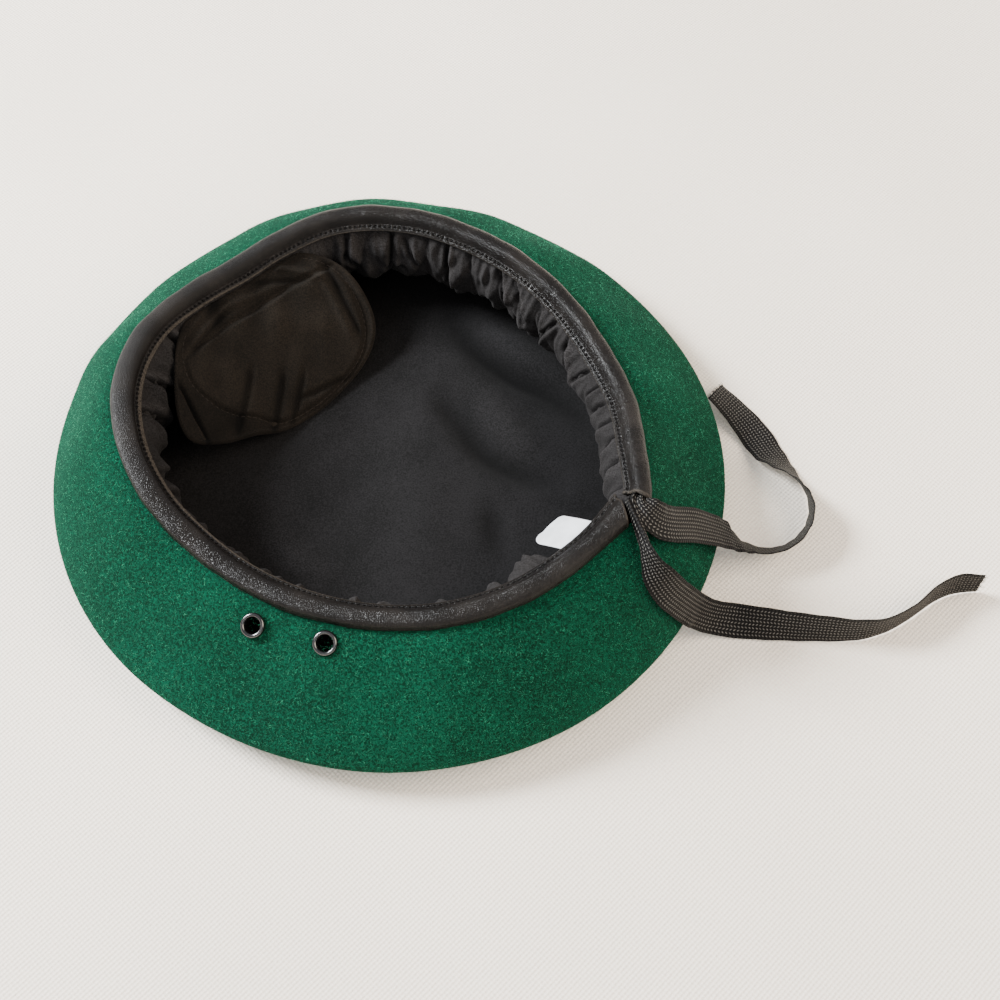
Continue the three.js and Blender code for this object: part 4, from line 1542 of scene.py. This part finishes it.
@dataclass
class GatheredLining:
    """Black cotton side, gathered into its seam behind the lip."""

    form: Form
    columns: int = 1320
    bulge: float = 10.0
    slack: Bells = ((7.5, 357, 27),)
    # Bells by which the side is painted darker: painted shade on its left, at 197 degrees, and a
    # smaller darkening at 357 degrees.
    sunk: Bells = ((0.15, 357, 30), (0.4, 197, 32))
    calm: Bells = ((-0.8, 5, 34), (2.2, 307, 8), (-0.45, 205, 22), (-0.3, 72, 30))
    drop: float = 0.42
    floor: float = 4.0
    depth: float = 4.3
    seam_in: float = 8.67
    seam_height: float = 7.68
    pleat: float = 0.28
    crease: float = 0.8
    fine_crease: float = 0.22
    thickness: float = 0.7
    per_degree: float = 1.65
    per_share: float = 55.0
    cloth: Pair = (0.068, 0.8)

    def build(self) -> None:
        """Make the side."""
        angle = np.arange(self.columns) * 360 / self.columns
        share = np.linspace(0, 1, 46)
        path = self.path(angle, share)
        # Fold mark of painted light and shade: paler on the tucks' raised sides and darker in the
        # tucks, less the painted shade of the bells.
        sunk = np.clip(self.tucks(angle[:, None], share[None, :]) / 2.5, -1, 0.6)
        sunk -= bells(angle, self.sunk)[:, None]
        front = stand(path, angle)
        back = stand(beside(path, self.thickness), angle)[:, ::-1][:, ::5]
        both = np.concatenate([front, back], axis=1)
        finish = CottonFinish(dye=(20, 18, 17), wear_and_shade=(46, 44, 44), thread=0.45, nap=0.1, sheen=0.02)
        skin = Skin.grid(both, ring=True, loop=True)
        skin.marks = {"fold": np.concatenate([sunk, 0 * back[..., 0]], axis=1)}
        side = skin.build("gathered_cotton", Slot.COTTON, finish.build("plain_cotton"))
        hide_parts("gathered_lining")

    def path(self, angle: Array, share: Array) -> Array:
        """Side of the lining at each angle: a Bezier curve from behind the lip, in, and out to the
        crown lining's edge, moved in by puffs, sharp pleats near the seam and slanting wrinkles.

        Args:
            angle: Angles in degrees.
            share: Places from the seam, at 0, to the crown lining's edge, at 1.

        Returns:
            Radius and height for each angle and place.
        """
        form = self.form
        start = form.behind_lip(angle, 0.9 * form.lip_width, form.gap)
        rim, _, _ = form.outline(angle)
        end = np.stack([rim - self.seam_in, np.full_like(rim, self.seam_height)], -1)
        fall = start[:, 1] - end[:, 1]
        bulge = self.bulge + bells(angle, self.slack)
        side = bezier(
            start,
            np.stack([start[:, 0] - bulge, start[:, 1] - fall * self.drop], -1),
            np.stack([start[:, 0], end[:, 1] - self.floor / 2], -1),
            end,
            share,
        )
        turn, down = np.radians(angle)[:, None], share[None, :]
        lean = 6 * np.sin(2 * turn + 0.6) + 4 * np.sin(5 * turn + 2)
        puff, reach = self.puffs(angle[:, None] + lean * down)
        opens = smooth(down / 0.2)
        closes = 1 - smooth((down - 0.42 * reach) / (0.46 * reach))
        big = puff * opens * closes
        fine = ripples(turn, down * 4, (70, 170), 2.0, 36, 31) * self.pleat
        slant = ripples(turn, down * 10, (24, 64), 3.0, 26, 37) * self.crease
        slant = slant + ripples(turn, down * 14, (60, 150), 4.0, 30, 53) * self.fine_crease
        strength = np.clip(puff / self.depth, 0.35, 1.0)
        near_seam = smooth(down / 0.03) * (1 - smooth((down - 0.12) / 0.3))
        fine = fine * (0.4 + 0.6 * strength) * near_seam
        slant = slant * strength * smooth(down / 0.12) * (1 - smooth((down - 0.45) / 0.4))
        return beside(side, -(big + fine + slant + self.tucks(angle[:, None], down)))

    def tucks(self, angle: Array, down: Array) -> Array:
        """Relief of the tucks: along each a narrow sunk bell, and a wider raised one beside it.

        Args:
            angle: Angles in degrees.
            down: Places down the side, from 0 to 1.

        Returns:
            Relief at each point, raised towards the opening.
        """
        total = np.zeros(np.broadcast(angle, down).shape)
        for a0, s0, a1, s1, depth, wide in TUCKS:
            x = (np.mod(angle - a0 + 180, 360) - 180) * self.per_degree
            y = (down - s0) * self.per_share
            end = ((a1 - a0) * self.per_degree, (s1 - s0) * self.per_share)
            off, past = from_line(x, y, end)
            raised = 0.45 * hump(off - 2.2 * wide, 1.7 * wide)
            total += depth * hump(past, 1.5 * wide) * (raised - hump(off, wide))
        return total

    def puffs(self, angle: Array) -> tuple[Array, Array]:
        """Depth of the puff at each angle, a narrow-waisted arch between creases, and its reach.

        Args:
            angle: Angles in degrees.

        Returns:
            Depth of the puff, and how far down the side it runs, at each angle.
        """
        rows = np.array(GATHERS, float)
        at = np.mod(angle - rows[0, 0], 360) + rows[0, 0]
        ends = np.r_[rows[1:, 0], rows[0, 0] + 360]
        i = np.searchsorted(rows[:, 0], at, side="right") - 1
        share = (at - rows[i, 0]) / (ends[i] - rows[i, 0])
        arch = np.sin(math.pi * np.clip(share, 0, 1)) ** 0.6
        calm = 1 + bells(at, self.calm)
        return self.depth * (0.25 + 0.75 * rows[i, 1] * arch) * calm, rows[i, 2]


@dataclass
class BadgePad:
    """Stiffener in a cotton pocket that leans from the binding on to the crown lining."""

    form: Form
    width: float = 102.0
    height: float = 61.0
    widest: float = 28.0
    squareness: float = 2.4
    thickness: float = 3.6
    edge: float = 1.2
    angle: float = 134.0
    heading: float = 304.0
    turns: int = 420
    rings: int = 84
    seam_in: float = 2.8
    corners: Bells = ((10.0, 180, 14), (-3.5, 138, 17))
    swells: Bells = ((2.0, 8, 25), (10.0, 162, 28), (10.0, 180, 14))
    # Painted shadow at the slack corner: height, angle and reach of its bell.
    corner_shadow: Bells = ((0.62, 156, 34),)
    rim: float = 1.6
    bead: Triple = (0.45, 1.4, 0.9)
    channel: float = 0.8
    channel_width: float = 0.8
    step: float = 11.0
    step_rise: float = 1.0
    ditch: Triple = (0.9, 0.4, 1.1)
    creasing: float = 1.5
    slack: float = 0.22
    ruffle: float = 0.08

    # Creases of the pocket: start and end as shares of half the width and of the height, with their
    # height and half width in millimetres.
    CREASES = (
        (0.42, 0.04, 0.66, 0.18, 0.7, 1.6),
        (0.2, 0.05, 0.5, 0.17, -0.6, 1.3),
        (-0.72, 0.16, -0.3, 0.08, 0.7, 1.7),
        (-0.62, 0.18, -0.34, 0.12, -0.6, 1.2),
        (-0.2, 0.07, 0.24, 0.11, 0.5, 1.8),
        (-0.8, 0.1, -0.5, 0.03, 0.6, 1.6),
        (-0.36, 0.56, -0.6, 0.74, -0.8, 1.8),
        (-0.1, 0.7, -0.32, 0.9, -0.9, 1.8),
        (0.08, 0.76, -0.14, 0.94, -0.8, 1.6),
        (0.1, 0.86, 0.42, 0.9, -0.7, 1.2),
        (0.8, 0.22, 0.79, 0.62, -0.8, 1.2),
        (0.72, 0.18, 0.71, 0.6, 0.5, 1.8),
        (0.1, 0.3, 0.5, 0.5, 0.35, 6.0),
        (-0.98, 0.34, -1.0, 0.62, -1.6, 1.2),
    )

    def build(self) -> None:
        """Make the pad and the line of stitches near its edge."""
        turn = np.linspace(0, 2 * math.pi, self.turns, endpoint=False)
        ring = np.linspace(0, 1, self.rings) ** 0.8
        sides = [self.place(turn[:, None], ring[None, :], side) for side in (1.0, -1.0)]
        keep = np.r_[0 : self.rings : 6, self.rings - 1]
        both = np.concatenate([sides[0], sides[1][:, ::-1][:, keep]], axis=1)
        finish = CottonFinish(dye=(14, 12, 9), wear_and_shade=(33, 28, 23), thread=0.5, nap=0.15, sheen=0.03)
        skin = Skin.grid(both, ring=True, loop=False)
        # Fold mark of painted light and shade on the side that shows.
        wear_and_shade = self.wear_and_shade(turn[:, None], ring[None, :])
        skin.marks = {"fold": np.concatenate([wear_and_shade, np.zeros((self.turns, len(keep)))], axis=1)}
        pad = skin.build("badge_pocket", Slot.COTTON, finish.build("pocket_cotton"), weld=True)
        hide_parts("badge_pad")
        thread = ThreadFinish((38, 33, 29)).build("pocket_thread")
        self.stitches().build("pocket_stitches", Slot.COTTON, thread)

    def seam(self, along: Array) -> Array:
        """Point of the seam behind the lip, a distance along it from the pad's middle.

        Args:
            along: Distances along the seam.

        Returns:
            A point for each distance.
        """
        form = self.form
        angle = self.angle - np.degrees(along / form.outline(np.array([self.angle]))[1][0])
        flat = form.behind_lip(angle.ravel(), -self.edge / 2, form.gap + self.edge / 2)
        return stand(flat[:, None, :], angle.ravel())[:, 0].reshape(*along.shape, 3)

    def down(self) -> Array:
        """Unit vector down the pad, from its seam to where it rests on the crown lining.

        Returns:
            The unit vector.
        """
        form = self.form
        floor = form.felt + form.lining + 2 * form.gap + self.edge / 2
        top = self.seam(np.zeros(1))[0, 2]
        lean = math.asin((top - floor) / self.height)
        heading = math.radians(self.heading)
        return np.array([
            math.cos(heading) * math.cos(lean), math.sin(heading) * math.cos(lean), -math.sin(lean)
        ])

    def reach(self, turn: Array) -> Array:
        """Distance from the pad's middle to its edge: a squared oval with a bell added at its slack
        left corner and one taken off below it, cut straight at the seam.

        Args:
            turn: Angles about the pad's middle, in radians.

        Returns:
            The distance at each angle.
        """
        c, s = np.cos(turn), np.sin(turn)
        power = self.squareness
        wide = np.abs(c) / (self.width / 2)
        deep = np.abs(s) / (self.height - self.widest)
        oval = (wide**power + deep**power) ** (-1 / power)
        top = np.where(s < -1e-6, self.widest / np.maximum(-s, 1e-6), np.inf)
        return np.minimum(oval + bells(np.degrees(turn), self.corners), top)

    def place(self, turn: Array, ring: Array, side: float) -> Array:
        """Points of one side: out from the middle by the ring's share of the reach, along the
        seam's curve and down the pad, and off it by half a thickness that falls with the cube of
        the ring, with the stitched channel, the creases and the rolled rim added.

        Args:
            turn: Angles about the pad's middle, in radians.
            ring: Shares of the way from the middle to the edge.
            side: 1 for the side that shows, -1 for the other.

        Returns:
            A point for each turn and ring.
        """
        out = ring * self.reach(turn)
        across, deep = out * np.cos(turn), self.widest + out * np.sin(turn)
        base = self.seam(across)
        down = self.down()
        facing = unit(np.cross(down, unit(self.seam(across + 1) - base)))
        near = self.reach(turn) - out
        thick = self.edge + (self.thickness - self.edge) * (1 - ring**3)
        roll = np.sqrt(np.clip(1 - (1 - np.clip(near / self.rim, 0, 1)) ** 2, 0, 1))
        body = 0.5 * thick * roll + 0.02
        low = smooth((deep - 10) / 8)
        stitched = near - self.inset(turn)
        high, at, wide = self.bead
        body += high * hump(near - at, wide) * low
        body -= self.channel * hump(stitched, self.channel_width) * low
        if side > 0:
            board = smooth((deep - self.step) / 1.6) * smooth(stitched / 2.5)
            body += self.step_rise * board
            sunk, before, wide = self.ditch
            body -= sunk * hump(deep - self.step + before, wide) * smooth(near / 4)
            body += self.creasing * self.relief(across, deep) * smooth(near / 3)
        return base + down * deep[..., None] + facing * (side * body)[..., None]

    def wear_and_shade(self, turn: Array, ring: Array) -> Array:
        """Fold mark of painted light and shade: the creases' relief, less a painted shadow past the
        stitches at the slack corner and a painted shadow in a strip along the seam.

        Args:
            turn: Angles about the pad's middle, in radians.
            ring: Shares of the way from the middle to the edge.

        Returns:
            The mark at each point.
        """
        reach = self.reach(turn)
        across, deep = ring * reach * np.cos(turn), self.widest + ring * reach * np.sin(turn)
        past = 1 - smooth((reach * (1 - ring) - self.inset(turn) + 1) / 3)
        corner = bells(np.degrees(turn), self.corner_shadow) * past
        seam = 0.3 * (1 - smooth((deep - 5) / 8))
        return np.clip(self.relief(across, deep), -0.8, 0.4) - corner - seam

    def inset(self, turn: Array) -> Array:
        """Distance of the stitches from the edge: even, but for bells at the right and corner."""
        return self.seam_in + bells(np.degrees(turn), self.swells)

    def relief(self, across: Array, deep: Array) -> Array:
        """Creases, each a bell across its line that fades past its ends, and slack by the seam.

        Args:
            across: Distances along the seam from the pad's middle.
            deep: Distances down from the seam.

        Returns:
            Relief at each point.
        """
        total = 0.0 * across
        half = self.width / 2
        for x0, y0, x1, y1, height, wide in self.CREASES:
            end = ((x1 - x0) * half, (y1 - y0) * self.height)
            off, past = from_line(across - x0 * half, deep - y0 * self.height, end)
            total += height * hump(off, wide) * hump(past, 5)
        slack = ripples(across / 50, deep / 8, (3, 16), 1.6, 18, 41) * self.slack
        total += slack * (1 - smooth((deep - 6) / 26))
        return total + self.ruffle * ripples(across / 20, deep / 6, (2, 9), 2, 14, 43)

    def stitches(self) -> Skin:
        """Stitches in the channel, a fixed distance in from the edge.

        Returns:
            The skin of all the stitches.
        """
        turn = np.linspace(math.radians(-38), math.radians(218), 3000)
        share = 1 - self.inset(turn) / self.reach(turn)
        return threads(self.place(turn, share, 1.0), (1.0, 3.0), 2.6, 1.9, 0.13, 0.1)


@dataclass
class SizeLabel:
    """Small bare white tag that hangs from the lip, curling at its free corners."""

    form: Form
    width: float = 15.5
    length: float = 19.0
    thickness: float = 0.35
    corner: float = 3.0
    lift: float = 0.3
    droop: float = 0.9
    bow: float = 0.35
    curl: float = 0.9
    angle: float = 320.4

    def build(self) -> None:
        """Make the tag: a grid whose half width shrinks round the corners, bent by its curl."""
        form = self.form
        along = np.linspace(0, 1, 44)[:, None] ** 0.8 * self.length
        across = np.linspace(-1, 1, 34)[None, :]
        rest = np.clip(along - (self.length - self.corner), 0, self.corner)
        half = self.width / 2 - (self.corner - np.sqrt(np.maximum(self.corner**2 - rest**2, 0)))
        y = across * half
        share = along / self.length
        bend = self.lift - self.droop * share**2
        bend = bend + self.bow * np.cos(math.pi * across / 1.6) * share
        bend = bend + self.curl * smooth((share - 0.8) / 0.2) * smooth((across - 0.3) / 0.7)
        levels = [bend + self.thickness, bend]
        turn = math.radians(self.angle + 180)
        c, s = math.cos(form.lip_slope), math.sin(form.lip_slope)
        ahead = np.array([math.cos(turn) * c, math.sin(turn) * c, -s])
        aside = np.array([-math.sin(turn), math.cos(turn), 0.0])
        off = np.cross(ahead, aside)
        at = np.array([self.angle])
        root = stand(form.behind_lip(at, -0.6, form.gap + 0.6)[:, None, :], at)[0, 0]
        sides = [
            root + along[..., None] * ahead + y[..., None] * aside + level[..., None] * off
            for level in levels
        ]
        both = np.concatenate([sides[0], sides[1][:, ::-1]], axis=1)
        tag = Skin.grid(both, ring=False, loop=True, cap=True).build(
            "bare_tag", Slot.LABEL, SatinFinish().build("white_satin")
        )
        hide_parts("size_label")


@dataclass
class DrawstringTail:
    """One end of the flat drawstring, along its route, with its frayed tip."""

    node: str
    route: Array
    width: float = 14.0
    thickness: float = 1.0
    rows: int = 460
    across: int = 31
    crumple: float = 1.5
    cupping: float = 0.35
    frays: int = 90
    fray_radius: float = 0.1
    fray_spread: float = 0.28
    floor: float = 0.08

    def build(self, braid: bpy.types.Material) -> None:
        """Make the tape and its frayed threads.

        Args:
            braid: Material of the tape.
        """
        line, wide, thin, broad = self.frames()
        u = np.linspace(-1, 1, self.across)[None, :]
        half = 0.5 * broad[:, None] * self.width
        slack = 1 - broad[:, None]
        fold = self.crumple * slack * np.cos(2.4 * math.pi * u) * (1 - 0.3 * u**2)
        cup = -self.cupping * (1 - u**2) * (1 - slack)
        rounding = 0.5 * self.thickness * (1 - 0.75 * np.abs(u) ** 5)
        sides = [
            line[:, None]
            + (half * u)[..., None] * wide[:, None]
            + (fold + cup + sign * rounding)[..., None] * thin[:, None]
            for sign in (1.0, -1.0)
        ]
        both = np.concatenate([sides[0], sides[1][:, ::-1]], axis=1)
        both[..., 2] = np.maximum(both[..., 2], self.floor)
        run = length_along(line)
        place = np.concatenate([u[0], u[0][::-1], u[0][:1]]) * self.width / 2
        cloth = np.stack(np.broadcast_arrays(place[None, :], run[:, None]), -1)
        skin = Skin.grid(both, ring=False, loop=True, cloth=cloth, cap=True)
        tape = skin.build(f"{self.node}_braid", Slot.BRAID, braid)
        thread = ThreadFinish().build(f"{self.node}_loose")
        fray = self.fray(line, wide, thin, half).build(f"{self.node}_fray", Slot.BRAID, thread)
        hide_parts(self.node)
        log.info("%s: %.0f mm of tape", self.node, run[-1])

    def frames(self) -> tuple[Array, Array, Array, Array]:
        """Middle of the tape, its two cross directions and its width share, along the route.

        The middle is the spline through the route. The wide direction is the level one, turned
        about the middle by the lean, which eases from point to point as the width share does.

        Returns:
            The middle, the wide direction, the thin direction and the width share at each row.
        """
        shares = np.linspace(0, 1, self.rows)
        line = catmull_rom(self.route[:, :3], shares)
        step = np.gradient(line, axis=0)
        along = unit(step)
        level = unit(np.cross([[0.0, 0.0, 1.0]], along))
        rise = np.cross(along, level)
        at = shares * (len(self.route) - 1)
        i = np.minimum(at.astype(int), len(self.route) - 2)
        ease = smooth(at - i)
        lean, broad = (
            self.route[i, k] + (self.route[i + 1, k] - self.route[i, k]) * ease for k in (3, 4)
        )
        lean = np.radians(lean)[:, None]
        wide = level * np.cos(lean) + rise * np.sin(lean)
        return line, wide, np.cross(along, wide), broad

    def fray(self, line: Array, wide: Array, thin: Array, half: Array) -> Skin:
        """Loose threads at the cut end: needles that leave it nearly straight on.

        Args:
            line: Middle of the tape.
            wide: Its wide direction.
            thin: Its thin direction.
            half: Half its width at each row.

        Returns:
            The skin of the loose threads.
        """
        rng = np.random.default_rng(len(self.node))
        count = self.frays
        ahead = unit(line[-1] - line[-4])
        u = rng.uniform(-1, 1, (count, 1))
        side = half[-1] * u * wide[-1]
        root = line[-1] - 0.8 * ahead + side + rng.uniform(-0.3, 0.3, (count, 1)) * thin[-1]
        lean = rng.normal(0, self.fray_spread, (count, 2))
        way = unit(ahead + lean[:, :1] * wide[-1] + lean[:, 1:] * thin[-1])
        tip = root + way * (0.9 + rng.lognormal(0.1, 0.35, (count, 1)))
        points, faces = spikes(root, tip, np.full(count, self.fray_radius))
        points[:, 2] = np.maximum(points[:, 2], 0.1)
        return Skin(points, [faces])


# Routes of the two tails: X, Y, Z of the tape's middle in millimetres, its lean
# from flat in degrees, and its width as a share of the tape's.
LOOPED = (
    (97.2, -46.4, 55.4, 0, 0.4), (96.2, -51.2, 56.8, 0, 0.6), (98.8, -54.9, 56.2, 8, 0.8),
    (101.2, -56.4, 54.2, 16, 0.92), (104.4, -56.8, 51.4, 22, 1), (108.2, -55.6, 47.8, 26, 1),
    (118.1, -49.6, 36.6, 27, 1), (129.4, -44.2, 22.8, 14, 1), (134.6, -42.6, 16.7, 0, 1),
    (138.6, -42.3, 11.9, -25, 1), (143.2, -42.5, 7.6, -45, 1), (148.6, -43.3, 6.1, -49, 1),
    (155, -42.8, 6.3, -54, 1), (160.8, -40.2, 6.8, -62, 1), (165.6, -35.2, 7.4, -72, 1),
    (168.8, -28.6, 7.6, -84, 1), (169.4, -21.6, 7.6, -97, 1), (167.8, -15.4, 7.3, -112, 1),
    (164.8, -9, 6.3, -127, 1), (160.6, -2.4, 4.6, -146, 1), (156.5, 5, 2.3, -168, 1),
    (153.2, 12.8, 1.3, -178, 1), (149.4, 19.6, 1.9, -172, 1), (143.4, 27.2, 3.9, -163, 1),
    (136.2, 33.8, 7.2, -157, 1),
)
TRAILING = (
    (91.6, -50.6, 56.8, 84, 0.2), (92.6, -54.4, 56.4, 82, 0.24), (94.3, -59.8, 55.4, 80, 0.36),
    (96.4, -66, 53.6, 78, 0.55), (98.4, -71.8, 51.2, 73, 0.8), (102, -76.4, 46.4, 62, 0.98),
    (107, -78.6, 37.9, 63, 1), (111.7, -78.4, 30.4, 70, 1), (116.4, -77, 22, 73, 1),
    (120.4, -75, 14.4, 66, 1), (126, -73.9, 8.6, 53, 1), (134, -74, 5.9, 45, 1),
    (144.6, -75.8, 6.6, 55, 1), (156, -77.5, 7.2, 66, 1), (168, -78.8, 7.5, 74, 1),
    (180.4, -79.6, 7.6, 83, 1), (191, -78, 7.6, 91, 1), (202.4, -72.2, 7.6, 92, 1),
    (213.6, -63.8, 7.6, 87, 1), (222, -60.2, 7.6, 86, 1), (231, -60, 7.6, 92, 1),
)


@dataclass
class Studio:
    """Table, lights and the camera at the photograph's angle."""

    aim: Triple = (44.98, -14.49, 0.0)
    eye: Triple = (44.98, -330.95, 506.45)
    roll: float = math.radians(-0.693)
    lens: float = 52.586
    sensor: float = 36.0
    table: float = 3.0
    sky: Triple = (0.93, 0.95, 1.0)
    sky_strength: float = 0.62

    # Name, place and side in metres, watts and colour of each lamp.
    LAMPS = (
        ("window", (-1.3, 0.46, 1.07), 0.62, 118.0, (0.95, 0.98, 1.0)),
        ("fill", (1.2, -0.13, 1.0), 1.2, 32.0, (1.0, 0.86, 0.7)),
        ("front", (-0.1, -0.9, 0.9), 1.0, 5.0, (1.0, 0.98, 0.95)),
    )

    def build(self) -> None:
        """Make the camera, the table and the lights."""
        self.camera()
        self.floor()
        world = bpy.data.worlds.new("room")
        bpy.context.scene.world = world
        world.use_nodes = True
        back = world.node_tree.nodes["Background"]
        back.inputs["Color"].default_value = (*self.sky, 1.0)
        back.inputs["Strength"].default_value = self.sky_strength
        for lamp in self.LAMPS:
            self.lamp(*lamp)

    def camera(self) -> None:
        """Make the camera, looking from the eye to the aim and rolled about that line."""
        data = bpy.data.cameras.new("camera")
        data.lens, data.sensor_width, data.sensor_height = self.lens, self.sensor, self.sensor
        data.sensor_fit = "HORIZONTAL"
        data.clip_start = 0.01
        camera = bpy.data.objects.new("camera", data)
        eye, aim = Vector(self.eye) * MM, Vector(self.aim) * MM
        look = (aim - eye).to_track_quat("-Z", "Y").to_matrix()
        turned = (look @ Matrix.Rotation(self.roll, 3, "Z")).to_4x4()
        camera.matrix_world = Matrix.Translation(eye) @ turned
        bpy.context.scene.collection.objects.link(camera)
        bpy.context.scene.camera = camera

    def floor(self) -> None:
        """Make the table top."""
        mesh = bpy.data.meshes.new("table")
        side = self.table
        corners = [(-side, -side, 0), (side, -side, 0), (side, side, 0), (-side, side, 0)]
        mesh.from_pydata(corners, [], [(0, 1, 2, 3)])
        mesh.materials.append(TableFinish().build("table_cloth"))
        table = bpy.data.objects.new("table", mesh)
        bpy.context.scene.collection.objects.link(table)

    def lamp(self, name: str, place: Triple, side: float, power: float, colour: Triple) -> None:
        """Make a square soft lamp that faces the beret.

        Args:
            name: Name of the lamp.
            place: Its place, in metres.
            side: Length of its side, in metres.
            power: Power in watts.
            colour: Colour of its light.
        """
        data = bpy.data.lights.new(name, "AREA")
        data.shape, data.size, data.energy, data.color = "SQUARE", side, power, colour
        lamp = bpy.data.objects.new(name, data)
        lamp.location = place
        facing = (Vector((0.03, 0, 0.02)) - Vector(place)).to_track_quat("-Z", "Y")
        lamp.rotation_euler = facing.to_euler()
        bpy.context.scene.collection.objects.link(lamp)


def main() -> None:
    """Build the studio and the beret, piece by piece."""
    logging.basicConfig(level=logging.INFO, format="%(name)s %(message)s")
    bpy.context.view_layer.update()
    form = Form()
    Studio().build()
    braid = BraidFinish().build("flat_braid")
    for node, route in (("drawstring_tail_looped", LOOPED), ("drawstring_tail_trailing", TRAILING)):
        DrawstringTail(node, np.array(route, float)).build(braid)
    eyelets = [
        VentEyelet(form, "vent_eyelet_left", 243.9, 0.81),
        VentEyelet(form, "vent_eyelet_right", 259.8, 0.85),
    ]
    FeltShell(form).build(eyelets)
    LeatherBinding(form).build()
    CrownLining(form).build()
    GatheredLining(form).build()
    BadgePad(form).build()
    SizeLabel(form).build()
    enamel = EnamelFinish().build("black_enamel")
    for eyelet in eyelets:
        eyelet.build(enamel)


if __name__ == "__main__":
    main()
